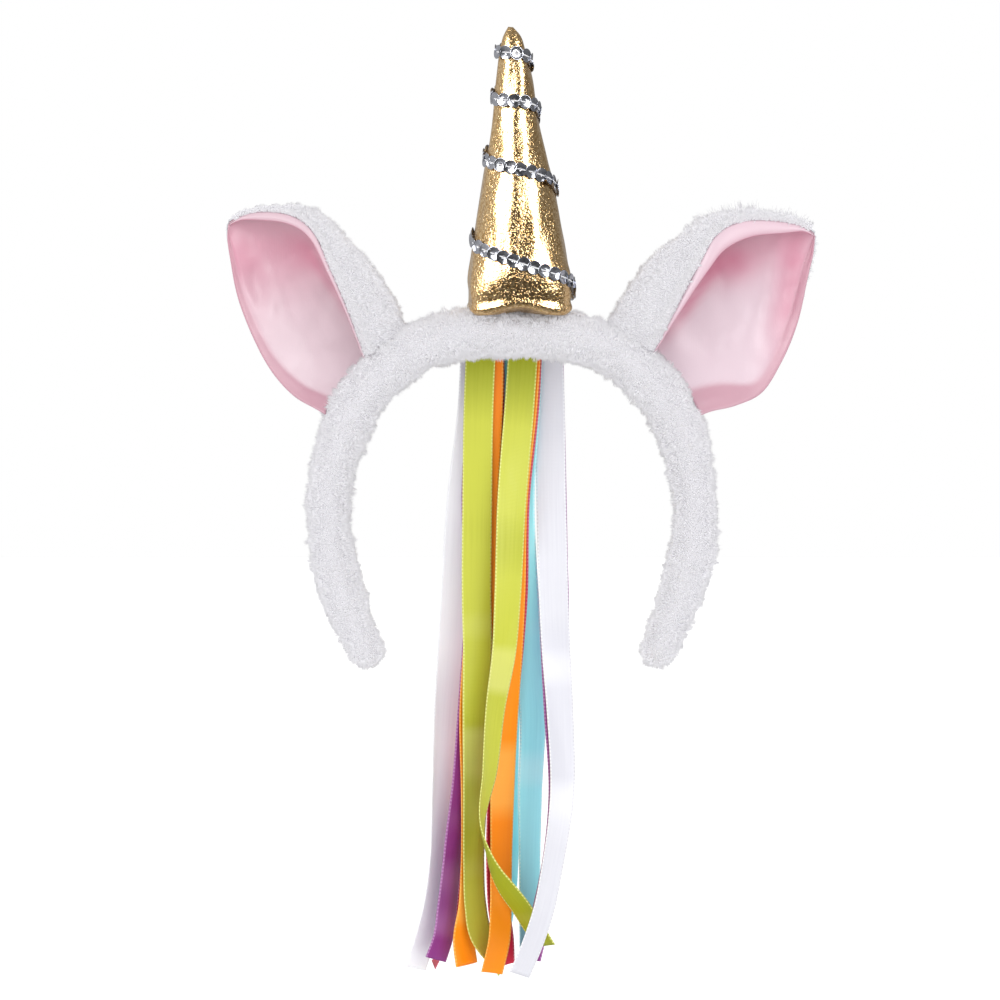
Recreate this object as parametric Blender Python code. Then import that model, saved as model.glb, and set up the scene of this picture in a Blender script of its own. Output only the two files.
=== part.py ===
"""Unicorn horn headband: a plush band, a stuffed gold horn wound with sequins, two lined ears and
a mane of satin ribbons that hangs behind the band.

Lengths are in millimetres until mesh_object scales them to metres. The wearer faces -Y, +X is at
the right of the front view, +Z is up, and the origin is where the crown of the head meets the band.
"""

import math
from collections import namedtuple

import bmesh
import bpy
import numpy as np
from mathutils import Vector

MM = 0.001
FRONT = Vector((0, -1, 0))
GAP = 0.35  # clearance between pieces that touch

BAND_THICKNESS = 19.5  # crown of the band, measured outwards from the head
CROWN_Z = 10.0  # height of the band's centreline above the head
BAND_SIDES = 14
BAND_SECTION_STEP = 7.6
BAND_LUMP = 0.45

# Half of the band's centreline, from the crown out and down, as arcs that run on from each other.
Arc = namedtuple("Arc", "length turn_deg")
BAND_ARCS = (
    Arc(15, 2.5),
    Arc(60, 60),
    Arc(52, 33),
    Arc(18, 13),
    Arc(30, 6),
)
BAND_REACH = sum(arc.length for arc in BAND_ARCS)

# The band's section at a distance along its centreline: across the wall, and front to back.
BandSection = namedtuple("BandSection", "distance thickness width")
BAND_SECTIONS = (
    BandSection(0, BAND_THICKNESS, 27),
    BandSection(45, 20.5, 27),
    BandSection(80, 20.5, 26),
    BandSection(112, 17.5, 24),
    BandSection(140, 19.0, 23),
    BandSection(BAND_REACH, 15.5, 20),
)

# The horn's outline at a height above the band. Square is how far the section's four corners
# stand out, and lean is the sideways place of its centre.
HornSection = namedtuple("HornSection", "height half_width half_depth lean square")
HORN_SECTIONS = (
    HornSection(-6.0, 15.5, 10.0, 3.2, 0.06),
    HornSection(0.0, 17.0, 12.0, 3.2, 0.06),
    HornSection(4.0, 19.6, 15.5, 3.2, 0.06),
    HornSection(11.0, 20.6, 17.5, 3.2, 0.055),
    HornSection(24.0, 19.1, 17.0, 3.0, 0.04),
    HornSection(44.0, 15.9, 15.0, 2.6, 0.03),
    HornSection(58.0, 13.4, 13.0, 2.2, 0.02),
    HornSection(70.0, 10.7, 10.6, 1.7, 0.01),
    HornSection(82.0, 8.6, 8.6, 1.3, 0.0),
    HornSection(95.0, 7.1, 7.1, 0.9, 0.0),
    HornSection(106.0, 5.2, 5.2, 0.2, 0.0),
    HornSection(112.0, 3.4, 3.4, -0.2, 0.0),
    HornSection(115.5, 1.3, 1.3, -0.5, 0.0),
)
HORN_FOOT_Z = 17.0  # height of the horn's front edge on the band
HORN_SIDES = 20
HORN_RING_STEP = 6.0

# The sequin string goes round the horn from the tip down. Turn 0 is at the left of the front
# view, 0.25 at the front and 0.5 at the right.
Winding = namedtuple("Winding", "turn height")
WINDINGS = (
    Winding(-0.15, 107.0),
    Winding(0.0, 105.6),
    Winding(0.5, 102.0),
    Winding(1.0, 87.5),
    Winding(1.5, 82.0),
    Winding(2.0, 63.5),
    Winding(2.5, 51.5),
    Winding(3.0, 31.0),
    Winding(3.5, 11.0),
    Winding(3.62, 8.5),
)
SEQUIN_RADIUS = 2.8
SEQUIN_THICKNESS = 0.5
SEQUIN_SIDES = 10
SEQUIN_PITCH = 4.7
SEQUIN_TILT_DEG = 20  # each sequin lies on the next like a shingle
THREAD_RADIUS = 0.4
THREAD_SIDES = 5
THREAD_CLEAR = 1.65  # from the horn's skin to the thread

# An ear is a bent leaf between an upper and a lower rim, opening forwards. "along" runs from the
# root to the tip and "across" from the upper rim to the lower one, both in the front view, and
# "forward" is towards the front. Overhang is how far the cup bulges past its upper rim, and depth
# how far the cup goes back.
EarRow = namedtuple(
    "EarRow",
    "upper_along upper_across upper_forward lower_along lower_across lower_forward overhang depth",
)
RIGHT_EAR_ROWS = (
    EarRow(-9.0, -13.0, 3.0, -15.0, 12.0, 3.0, 12.0, 9.0),
    EarRow(3.6, -16.3, 6.0, -3.6, 16.3, 4.0, 13.0, 11.0),
    EarRow(23.0, -21.6, 8.5, 6.9, 23.0, 3.0, 12.0, 13.0),
    EarRow(39.7, -25.9, 9.0, 18.0, 27.4, 2.0, 7.0, 13.0),
    EarRow(52.0, -28.2, 8.0, 32.0, 25.0, 1.0, 2.0, 12.0),
    EarRow(63.0, -24.0, 5.5, 48.0, 19.0, 0.5, -0.5, 9.0),
    EarRow(73.0, -13.0, 3.0, 64.0, 9.8, 0.5, -1.0, 5.0),
    EarRow(79.5, -2.2, 1.0, 76.5, 3.0, 0.5, 0.0, 1.0),
)
LEFT_EAR_ROWS = (
    EarRow(-9.0, -11.0, 3.0, -15.0, 10.0, 3.0, 11.0, 9.0),
    EarRow(4.7, -14.1, 5.0, -4.7, 14.1, 4.0, 11.5, 11.0),
    EarRow(21.2, -18.5, 7.0, 6.0, 19.0, 3.0, 10.5, 12.0),
    EarRow(38.2, -22.2, 8.0, 19.4, 20.5, 2.0, 6.5, 12.0),
    EarRow(54.0, -25.0, 7.0, 35.0, 18.6, 1.0, 2.0, 11.0),
    EarRow(65.0, -21.5, 4.5, 51.0, 14.4, 0.5, -0.5, 8.0),
    EarRow(73.5, -12.0, 2.5, 66.0, 7.6, 0.5, -1.0, 4.5),
    EarRow(77.5, -2.2, 1.0, 75.5, 2.6, 0.5, 0.0, 1.0),
)
# Where an ear's root lies on the band, and how steeply the ear rises from it.
EarPlace = namedtuple("EarPlace", "side root_x root_z rise_deg rows")
EARS = {
    "right": EarPlace(1, 67.6, -8.4, 47.6, RIGHT_EAR_ROWS),
    "left": EarPlace(-1, 68.4, -8.8, 54.7, LEFT_EAR_ROWS),
}
EAR_STATIONS = 11
EAR_STEPS = 10
EAR_BULGE_AT = 0.2  # share of the way from the upper rim to the lower one
LINING_WALL = 1.6
PLUSH_WALL = 6.5
PLUSH_RIM = 2.2  # the pile's thickness where it is sewn to the lining

# A ribbon's centreline from the band down: its height, its sideways place, how far it lies behind
# the middle of the band, and how far it is turned about its own length.
RIBBON_WIDTH = 12.0
RIBBON_THICKNESS = 1.0
RIBBON_STATIONS = 22
Hang = namedtuple("Hang", "height side back turn_deg")
RIBBONS = {
    "green": (
        (
            Hang(10, -12.2, 14.65, 0),
            Hang(-17, -13.4, 14.4, 0),
            Hang(-57, -14, 14.6, 0),
            Hang(-97, -14.2, 15, 8),
            Hang(-117, -13.8, 15.3, 15),
            Hang(-141, -14.3, 16, 26),
            Hang(-177, -14.9, 17, 38),
            Hang(-205, -15.6, 18, 46),
            Hang(-221, -15, 19, 45),
            Hang(-233, -12.6, 20.6, 42),
            Hang(-246, -2.8, 27, 40),
        ),
        (
            Hang(10, 5, 14.65, 0),
            Hang(-17, 3.2, 13.8, 0),
            Hang(-57, 0, 10.4, 16),
            Hang(-97, -1.8, 8.8, 30),
            Hang(-117, -3.2, 8.2, 38),
            Hang(-141, -7, 7.4, 50),
            Hang(-165, -9.2, 6.6, 60),
            Hang(-189, -12, 6.4, 85),
            Hang(-205, -7, 6.2, 112),
            Hang(-213, -2.2, 7.8, 128),
            Hang(-221, 3.6, 10.4, 132),
            Hang(-229, 8.5, 14.4, 132),
            Hang(-237, 13.5, 17, 130),
        ),
    ),
    "orange": (
        (
            Hang(10, -9.4, 16.05, 0),
            Hang(-17, -9.6, 16, 0),
            Hang(-57, -11.8, 16.3, 0),
            Hang(-97, -12.6, 17, 8),
            Hang(-117, -14, 17.6, 15),
            Hang(-141, -15.8, 18, 26),
            Hang(-177, -15.8, 18.8, 38),
            Hang(-205, -16.4, 19.7, 46),
            Hang(-221, -17.2, 19.8, 46),
            Hang(-235, -19.2, 19.7, 45),
            Hang(-245, -18, 19.7, 45),
        ),
        (
            Hang(10, 6.2, 16.05, 0),
            Hang(-17, 4.4, 15.3, 0),
            Hang(-57, 0.4, 14.2, 0),
            Hang(-97, -0.6, 14.6, 8),
            Hang(-117, -1.4, 15, 15),
            Hang(-141, -2.5, 15.6, 26),
            Hang(-177, -3.8, 16.6, 38),
            Hang(-205, -4.4, 17, 46),
            Hang(-221, -4.6, 17, 46),
            Hang(-235, -5.4, 17, 45),
            Hang(-248, -8.4, 17, 45),
        ),
    ),
    "magenta": (
        (
            Hang(10, -9, 18.85, 0),
            Hang(-17, -9, 18.9, 0),
            Hang(-57, -9.6, 19.6, 0),
            Hang(-97, -9.8, 21.2, 8),
            Hang(-117, -12, 22.6, 15),
            Hang(-141, -16.2, 23.6, 26),
            Hang(-177, -16.6, 26.5, 38),
            Hang(-191, -16.6, 29, 42),
            Hang(-205, -16.4, 31, 46),
            Hang(-221, -18.8, 33.5, 58),
            Hang(-235, -24, 35.5, 80),
            Hang(-247, -32, 36.5, 100),
        ),
        (
            Hang(10, 6.6, 17.45, 0),
            Hang(-17, 5.2, 16.9, 0),
            Hang(-57, 1.2, 16, 0),
            Hang(-97, 0.4, 16.6, 8),
            Hang(-117, -1, 17.1, 15),
            Hang(-141, -3, 17.7, 26),
            Hang(-177, -5.2, 18.4, 38),
            Hang(-205, -6.4, 18.8, 46),
            Hang(-221, -5.8, 19.2, 46),
            Hang(-235, -3.8, 21.4, 45),
            Hang(-246, -3.4, 23.8, 45),
        ),
    ),
    "teal": (
        (
            Hang(10, -6.8, 20.25, 0),
            Hang(-17, -6.8, 20.4, 0),
            Hang(-57, -6.6, 21.6, 0),
            Hang(-97, -5, 24.4, 8),
            Hang(-117, -3, 27.6, 15),
            Hang(-141, -2.1, 29, 26),
            Hang(-177, -1.8, 29.4, 38),
            Hang(-205, -1.2, 29.6, 46),
            Hang(-221, -2.6, 31.2, 46),
            Hang(-238, -5.8, 33.8, 45),
        ),
        (
            Hang(10, 6.8, 18.85, 0),
            Hang(-17, 5.6, 18.5, 0),
            Hang(-57, 3.2, 17.8, 0),
            Hang(-97, 5, 19.2, 8),
            Hang(-117, 6.2, 22.6, 15),
            Hang(-141, 8.6, 25.8, 26),
            Hang(-177, 7.6, 26.4, 38),
            Hang(-205, 7.2, 26.6, 46),
            Hang(-225, 7.2, 28.2, 46),
            Hang(-243, 7.2, 29.6, 46),
        ),
    ),
    "purple": (
        (
            Hang(10, -12, 17.45, 0),
            Hang(-17, -12.6, 17.4, 0),
            Hang(-57, -14.4, 18, 0),
            Hang(-97, -13.2, 19, 8),
            Hang(-117, -14.4, 19.7, 15),
            Hang(-141, -16.4, 20.2, 26),
            Hang(-177, -19.8, 20.3, 40),
            Hang(-191, -22, 20.3, 47),
            Hang(-205, -24, 20.5, 54),
            Hang(-221, -25.8, 20.5, 51),
            Hang(-235, -27.8, 20.2, 48),
            Hang(-243, -30.6, 20, 45),
        ),
        (
            Hang(10, 14.6, 21.65, 0),
            Hang(-17, 15.4, 21.8, 0),
            Hang(-57, 16.2, 20.4, 0),
            Hang(-77, 16.6, 18.6, 4),
            Hang(-97, 17.2, 17.4, 8),
            Hang(-117, 17.6, 17, 15),
            Hang(-141, 18.4, 16.4, 26),
            Hang(-177, 19.4, 15.4, 38),
            Hang(-205, 15.8, 16.2, 46),
            Hang(-221, 12.6, 21, 46),
            Hang(-233, 9.6, 25, 45),
            Hang(-244, 7, 26, 45),
        ),
    ),
    "white": (
        (
            Hang(10, -14.6, 21.65, 0),
            Hang(-17, -15.8, 21.9, 0),
            Hang(-57, -20.4, 23.2, 0),
            Hang(-97, -23, 25, 8),
            Hang(-117, -24.4, 25.4, 15),
            Hang(-141, -26.2, 25.4, 26),
            Hang(-177, -28, 25, 38),
            Hang(-205, -29.6, 24.6, 46),
            Hang(-221, -31.8, 24.4, 46),
            Hang(-235, -35.2, 24.2, 45),
            Hang(-247, -39.2, 24, 45),
        ),
        (
            Hang(10, 14.2, 20.25, 0),
            Hang(-17, 15.4, 20.2, 0),
            Hang(-40, 15.7, 19.9, 0),
            Hang(-57, 15.9, 18.6, 0),
            Hang(-77, 16.4, 16.8, 4),
            Hang(-97, 16.9, 15.4, 8),
            Hang(-117, 17.8, 15, 15),
            Hang(-141, 19.2, 13.6, 26),
            Hang(-177, 19.8, 10.8, 38),
            Hang(-205, 15.8, 7.4, 46),
            Hang(-221, 12.6, 4.2, 46),
            Hang(-235, 8, 2.4, 45),
            Hang(-247, 3, 2, 45),
        ),
    ),
}

Finish = namedtuple("Finish", "colour roughness metallic")
FINISHES = {
    "plush": Finish((0.86, 0.86, 0.88), 0.9, 0.0),
    "pink_satin": Finish((0.90, 0.60, 0.70), 0.45, 0.0),
    "gold_lame": Finish((0.83, 0.60, 0.28), 0.3, 1.0),
    "silver_sequin": Finish((0.80, 0.81, 0.83), 0.15, 1.0),
    "green_ribbon": Finish((0.65, 0.72, 0.13), 0.4, 0.0),
    "orange_ribbon": Finish((0.98, 0.52, 0.05), 0.4, 0.0),
    "magenta_ribbon": Finish((0.70, 0.06, 0.22), 0.4, 0.0),
    "teal_ribbon": Finish((0.40, 0.75, 0.80), 0.4, 0.0),
    "purple_ribbon": Finish((0.50, 0.18, 0.56), 0.4, 0.0),
    "white_ribbon": Finish((0.88, 0.88, 0.93), 0.4, 0.0),
}


def clear_scene():
    for obj in list(bpy.data.objects):
        bpy.data.objects.remove(obj, do_unlink=True)


def finish_material(name):
    finish = FINISHES[name]
    material = bpy.data.materials.new(name)
    material.use_nodes = True
    shader = material.node_tree.nodes["Principled BSDF"]
    shader.inputs["Base Color"].default_value = (*finish.colour, 1)
    shader.inputs["Roughness"].default_value = finish.roughness
    shader.inputs["Metallic"].default_value = finish.metallic
    return material


def mesh_object(name, points, faces, material=None):
    """One object from points in millimetres, its faces turned outwards and shaded smooth."""
    mesh = bpy.data.meshes.new(name)
    mesh.from_pydata([tuple(Vector(p) * MM) for p in points], [], faces)
    shape = bmesh.new()
    shape.from_mesh(mesh)
    bmesh.ops.recalc_face_normals(shape, faces=shape.faces)
    shape.to_mesh(mesh)
    shape.free()
    if material:
        mesh.materials.append(material)
    mesh.shade_smooth()
    mesh.set_sharp_from_angle(angle=math.radians(50))
    obj = bpy.data.objects.new(name, mesh)
    bpy.context.scene.collection.objects.link(obj)
    return obj


def row_between(rows, keys, value):
    """A table's row at a value between two of its keys, on a smooth curve through all its rows."""
    order = np.argsort(keys)
    keys = np.array(keys, float)[order]
    table = np.array(rows, float)[order]
    value = min(max(value, keys[0]), keys[-1])
    slopes = np.gradient(table, keys, axis=0)
    i = min(max(int(np.searchsorted(keys, value)) - 1, 0), len(keys) - 2)
    span = keys[i + 1] - keys[i]
    t = (value - keys[i]) / span
    start = (1 + 2 * t) * (1 - t) ** 2 * table[i] + t * (1 - t) ** 2 * span * slopes[i]
    end = t * t * (3 - 2 * t) * table[i + 1] - t * t * (1 - t) * span * slopes[i + 1]
    return type(rows[0])(*(start + end))


def row_at(rows, key, value):
    """A table's row where the named column has a value."""
    return row_between(rows, [getattr(row, key) for row in rows], value)


def skin(rings, tips=()):
    """Points and faces of a body through closed rings, ended by a point or by a flat face."""
    count = len(rings[0])
    points = [p for ring in rings for p in ring]
    faces = []
    for i in range(len(rings) - 1):
        for j in range(count):
            k = (j + 1) % count
            faces.append((i * count + j, i * count + k, (i + 1) * count + k, (i + 1) * count + j))
    last = (len(rings) - 1) * count
    if not tips:
        faces.append(tuple(range(count)))
        faces.append(tuple(last + j for j in range(count)))
        return points, faces
    for tip, first in zip(tips, (0, last)):
        points.append(tip)
        for j in range(count):
            faces.append((first + j, first + (j + 1) % count, len(points) - 1))
    return points, faces


def band_line(distance):
    """The centreline's place and its outward normal, at a distance from the crown to one side."""
    side = math.copysign(1, distance)
    left, x, z, heading = abs(distance), 0.0, CROWN_Z, 0.0
    for arc in BAND_ARCS:
        radius = arc.length / math.radians(arc.turn_deg)
        turned = heading + min(left, arc.length) / radius
        x += radius * (math.sin(turned) - math.sin(heading))
        z += radius * (math.cos(turned) - math.cos(heading))
        left -= min(left, arc.length)
        heading = turned
    return Vector((side * x, 0, z)), Vector((side * math.sin(heading), 0, math.cos(heading)))


def band_ring(distance, extra, shrink=1.0, beyond=0.0):
    """One section of the band. The plush is lumpy, so the ring is a slightly uneven ellipse."""
    section = row_at(BAND_SECTIONS, "distance", abs(distance))
    centre, normal = band_line(distance)
    along = Vector((normal.z, 0, -normal.x)) * math.copysign(1, distance)
    centre = centre + along * beyond
    half = Vector((section.thickness / 2 + extra, section.width / 2 + extra))
    ring = []
    for j in range(BAND_SIDES):
        angle = 2 * math.pi * j / BAND_SIDES
        lump = BAND_LUMP * math.sin(distance / 5.3 + 2 * angle) * math.cos(distance / 8.1 - angle)
        ring.append(
            centre
            + normal * (half.x + lump) * shrink * math.cos(angle)
            + FRONT * (half.y + lump) * shrink * math.sin(angle)
        )
    return ring


def band_shape(extra=0.0):
    """The padded band with round ends, grown all round by extra."""
    end = BAND_SECTIONS[-1].thickness / 2
    dome = [(end * math.sin(a), math.cos(a)) for a in (math.radians(30), math.radians(62))]
    steps = 2 * round(BAND_REACH / BAND_SECTION_STEP)
    rings = [
        band_ring(-BAND_REACH + 2 * BAND_REACH * i / steps, extra) for i in range(steps + 1)
    ]
    left = [band_ring(-BAND_REACH, extra, s, beyond) for beyond, s in reversed(dome)]
    right = [band_ring(BAND_REACH, extra, s, beyond) for beyond, s in dome]
    tips = []
    for distance in (-BAND_REACH, BAND_REACH):
        centre, normal = band_line(distance)
        along = Vector((normal.z, 0, -normal.x)) * math.copysign(1, distance)
        tips.append(centre + along * (end + extra))
    return skin(left + rings + right, tips)


def cut_by(obj, cutter):
    """Cuts the space of a neighbour out of a piece, so that the piece is seated on it."""
    cut = obj.modifiers.new("seat", "BOOLEAN")
    cut.operation = "DIFFERENCE"
    cut.solver = "EXACT"
    cut.object = cutter


def band_cutter():
    """The band grown by the gap that its neighbours keep to it."""
    cutter = mesh_object("band_space", *band_shape(GAP))
    cutter.hide_render = True
    cutter.display_type = "WIRE"
    return cutter


def horn_point(height, angle, clear=0.0):
    section = row_at(HORN_SECTIONS, "height", height)
    corner = (1 - section.square * math.cos(4 * angle)) / (1 - section.square)
    return Vector(
        (
            section.lean + (section.half_width * corner + clear) * math.cos(angle),
            (section.half_depth * corner + clear) * math.sin(angle),
            HORN_FOOT_Z + height,
        )
    )


def build_horn(cutter):
    low, high = HORN_SECTIONS[0].height, HORN_SECTIONS[-1].height
    steps = round((high - low) / HORN_RING_STEP)
    rings = []
    for i in range(steps + 1):
        share = i / steps
        height = low + (high - low) * math.sin(share * math.pi / 2) ** 0.9
        angles = [2 * math.pi * j / HORN_SIDES for j in range(HORN_SIDES)]
        rings.append([horn_point(height, angle) for angle in angles])
    top = HORN_SECTIONS[-1]
    tips = (
        Vector((HORN_SECTIONS[0].lean, 0, HORN_FOOT_Z + low)),
        Vector((top.lean, 0, HORN_FOOT_Z + high + 0.6)),
    )
    horn = mesh_object("horn", *skin(rings, tips), finish_material("gold_lame"))
    cut_by(horn, cutter)


def string_place(turn):
    """The thread's place on the horn, just clear of its skin."""
    height = row_at(WINDINGS, "turn", turn).height
    return horn_point(height, 2 * math.pi * (turn - 0.5), THREAD_CLEAR)


def spaced(points, pitch):
    """Places an equal pitch apart along a line through points."""
    line = np.array(points, float)
    run = np.concatenate(([0], np.cumsum(np.linalg.norm(np.diff(line, axis=0), axis=1))))
    count = int(run[-1] / pitch)
    at = np.linspace(0, run[-1], count + 1)
    return [Vector([np.interp(d, run, line[:, k]) for k in range(3)]) for d in at]


def string_frames(pitch):
    """Each place on the string, with the way that it runs and the way out from the horn."""
    turns = np.linspace(WINDINGS[0].turn, WINDINGS[-1].turn, 600)
    places = spaced([string_place(t) for t in turns], pitch)
    frames = []
    for i, place in enumerate(places):
        ahead = places[min(i + 1, len(places) - 1)] - places[max(i - 1, 0)]
        ahead.normalize()
        middle = Vector((row_at(HORN_SECTIONS, "height", place.z - HORN_FOOT_Z).lean, 0, place.z))
        outward = place - middle
        outward -= ahead * outward.dot(ahead)
        frames.append((place, ahead, outward.normalized()))
    return frames


def disc(centre, facing, edge):
    """A sequin: a thin flat disc that faces one way, with its first corner towards edge."""
    side = facing.cross(edge).normalized()
    edge = side.cross(facing)
    rings = []
    for level in (-0.5, 0.5):
        middle = centre + facing * SEQUIN_THICKNESS * level
        turns = [2 * math.pi * j / SEQUIN_SIDES for j in range(SEQUIN_SIDES)]
        rings.append(
            [middle + (edge * math.cos(a) + side * math.sin(a)) * SEQUIN_RADIUS for a in turns]
        )
    return skin(rings)


def thread_rings(frames):
    """Rings of a round thread, mitred at each bend so that its sides stay flat."""
    place, ahead, outward = frames[0]
    side = ahead.cross(outward)
    turns = [2 * math.pi * j / THREAD_SIDES for j in range(THREAD_SIDES)]
    rings = [[place + (outward * math.cos(a) + side * math.sin(a)) * THREAD_RADIUS for a in turns]]
    for i in range(1, len(frames)):
        place, bisector, _ = frames[i]
        run = place - frames[i - 1][0]
        rings.append([p + run * ((place - p).dot(bisector) / run.dot(bisector)) for p in rings[-1]])
    return rings


def build_sequins():
    """The thread with every sequin fused to it."""
    rings = thread_rings(string_frames(SEQUIN_PITCH))
    thread = mesh_object("sequin_string", *skin(rings), finish_material("silver_sequin"))
    discs = bpy.data.collections.new("sequins")
    bpy.context.scene.collection.children.link(discs)
    tilt = math.radians(SEQUIN_TILT_DEG)
    for place, ahead, outward in string_frames(SEQUIN_PITCH)[1:-1]:
        facing = outward * math.cos(tilt) + ahead * math.sin(tilt)
        sequin = mesh_object("sequin", *disc(place, facing, ahead))
        sequin.hide_render = True
        sequin.display_type = "WIRE"
        bpy.context.scene.collection.objects.unlink(sequin)
        discs.objects.link(sequin)
    fuse = thread.modifiers.new("fuse", "BOOLEAN")
    fuse.operation = "UNION"
    fuse.solver = "EXACT"
    fuse.operand_type = "COLLECTION"
    fuse.collection = discs


def ear_sheet(place):
    """The ear's inner surface as a grid of points, from the root to the tip and rim to rim."""
    rise = math.radians(place.rise_deg)
    along = Vector((place.side * math.cos(rise), 0, math.sin(rise)))
    across = Vector((place.side * math.sin(rise), 0, -math.cos(rise)))
    root = Vector((place.side * place.root_x, 0, place.root_z))
    last = len(place.rows) - 1
    grid = []
    for i in range(EAR_STATIONS):
        row = row_between(place.rows, range(last + 1), i / (EAR_STATIONS - 1) * last)
        upper = root + along * row.upper_along + across * row.upper_across + FRONT * row.upper_forward
        lower = root + along * row.lower_along + across * row.lower_across + FRONT * row.lower_forward
        chord = lower - upper
        out_of_rim = -chord.normalized()
        reach = row.overhang + EAR_BULGE_AT * chord.length
        line = []
        for j in range(EAR_STEPS + 1):
            share = (j / EAR_STEPS) ** 1.15
            bulge = share * (1 - share) ** 3 / (EAR_BULGE_AT * (1 - EAR_BULGE_AT) ** 3)
            sag = math.sin(math.pi * share**0.8)
            line.append(upper + chord * share + out_of_rim * reach * bulge - FRONT * row.depth * sag)
        grid.append(line)
    return grid


def grid_normals(grid, outward_hint):
    """The way out of the sheet's back at each point of a grid."""
    places = np.array([[tuple(p) for p in line] for line in grid])
    along = np.gradient(places, axis=0)
    across = np.gradient(places, axis=1)
    normals = np.cross(along, across)
    normals /= np.linalg.norm(normals, axis=2, keepdims=True)
    middle = normals[len(grid) // 2, len(grid[0]) // 2]
    return places, normals * math.copysign(1, middle @ np.array(outward_hint))


def slab(inner, outer):
    """Points and faces of the closed body between two grids of the same size."""
    rows, columns = inner.shape[:2]
    points = [tuple(p) for p in inner.reshape(-1, 3)] + [tuple(p) for p in outer.reshape(-1, 3)]
    back = rows * columns
    faces = []
    for i in range(rows - 1):
        for j in range(columns - 1):
            a = i * columns + j
            quad = (a, a + 1, a + columns + 1, a + columns)
            faces.append(quad)
            faces.append(tuple(back + v for v in quad))
    border = list(range(columns - 1))
    border += [i * columns + columns - 1 for i in range(rows - 1)]
    border += [(rows - 1) * columns + j for j in range(columns - 1, 0, -1)]
    border += [i * columns for i in range(rows - 1, 0, -1)]
    for a, b in zip(border, border[1:] + border[:1]):
        faces.append((a, b, back + b, back + a))
    return points, faces


def build_ear(name, place, cutter):
    """A satin lining and the plush shell behind it, both seated on the band."""
    places, normals = grid_normals(ear_sheet(place), -FRONT)
    lining = slab(places, places + normals * LINING_WALL)
    station = np.linspace(0, 1, places.shape[0])[:, None, None]
    step = np.linspace(0, 1, places.shape[1])[None, :, None]
    full = np.minimum(1, 5 * step * (1 - step)) * np.minimum(1, 1.6 * (1 - station))
    pile = PLUSH_RIM + (PLUSH_WALL - PLUSH_RIM) * full
    inside = places + normals * (LINING_WALL + GAP)
    shell = slab(inside, inside + normals * pile)
    for part, shape, finish in (
        ("lining", lining, "pink_satin"),
        ("plush", shell, "plush"),
    ):
        obj = mesh_object(f"{name}_ear_{part}", *shape, bpy.data.materials[finish])
        cut_by(obj, cutter)


def build_ribbon(name, hangs, material):
    """A flat strip that follows its centreline and is turned about it."""
    top, bottom = hangs[0].height, hangs[-1].height
    places = []
    for i in range(RIBBON_STATIONS):
        row = row_at(hangs, "height", top + (bottom - top) * i / (RIBBON_STATIONS - 1))
        places.append((Vector((row.side, row.back, row.height)), math.radians(row.turn_deg)))
    rings = []
    for i, (place, turn) in enumerate(places):
        ahead = places[min(i + 1, len(places) - 1)][0] - places[max(i - 1, 0)][0]
        ahead.normalize()
        level = FRONT.cross(ahead).normalized()
        wide = level * math.cos(turn) + level.cross(ahead) * math.sin(turn)
        thick = ahead.cross(wide).normalized()
        half = wide * RIBBON_WIDTH / 2
        wall = thick * RIBBON_THICKNESS / 2
        corners = (-half - wall, half - wall, half + wall, wall - half)
        rings.append([place + corner for corner in corners])
    mesh_object(name, *skin(rings), material)


def main():
    clear_scene()
    plush = finish_material("plush")
    finish_material("pink_satin")
    cutter = band_cutter()
    mesh_object("plush_band", *band_shape(), plush)
    build_horn(cutter)
    build_sequins()
    for name, place in EARS.items():
        build_ear(name, place, cutter)
    for colour, pair in RIBBONS.items():
        material = finish_material(f"{colour}_ribbon")
        for side, hangs in zip(("left", "right"), pair):
            build_ribbon(f"{colour}_ribbon_{side}", hangs, material)


main()
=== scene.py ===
"""Looks of the unicorn horn headband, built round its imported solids.

Lengths are in millimetres until a mesh is made. The wearer faces -Y, +X is at the right of the
front view and +Z is up.
"""

import math
from collections import namedtuple

import bpy
import numpy as np
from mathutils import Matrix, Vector
from mathutils.kdtree import KDTree


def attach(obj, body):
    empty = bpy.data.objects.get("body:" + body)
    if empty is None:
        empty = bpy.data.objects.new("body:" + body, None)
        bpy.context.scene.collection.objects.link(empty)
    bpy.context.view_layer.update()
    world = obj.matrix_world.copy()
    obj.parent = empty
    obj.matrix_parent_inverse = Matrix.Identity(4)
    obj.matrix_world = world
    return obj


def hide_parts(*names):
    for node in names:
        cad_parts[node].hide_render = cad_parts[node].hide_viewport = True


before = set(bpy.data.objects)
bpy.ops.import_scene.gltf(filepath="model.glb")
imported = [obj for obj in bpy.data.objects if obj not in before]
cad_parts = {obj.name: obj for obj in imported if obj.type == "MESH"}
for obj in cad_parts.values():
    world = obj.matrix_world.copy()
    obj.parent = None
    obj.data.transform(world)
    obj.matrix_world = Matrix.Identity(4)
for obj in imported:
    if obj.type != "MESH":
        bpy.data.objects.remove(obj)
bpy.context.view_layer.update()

MM = 0.001
FRONT = np.array((0.0, -1.0, 0.0))
BAND_THICKNESS = 19.5
CROWN_Z = 10.0

# Half of the band's centreline, from the crown out and down, as arcs that run on from each other.
Arc = namedtuple("Arc", "length turn_deg")
BAND_ARCS = (
    Arc(15, 2.5),
    Arc(60, 60),
    Arc(52, 33),
    Arc(18, 13),
    Arc(30, 6),
)
BAND_REACH = sum(arc.length for arc in BAND_ARCS)

# The band's section at a distance along its centreline: across the wall, and front to back.
BandSection = namedtuple("BandSection", "distance thickness width")
BAND_SECTIONS = (
    BandSection(0, BAND_THICKNESS, 27),
    BandSection(45, 20.5, 27),
    BandSection(80, 20.5, 26),
    BandSection(112, 17.5, 24),
    BandSection(140, 19.0, 23),
    BandSection(BAND_REACH, 15.5, 20),
)

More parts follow.
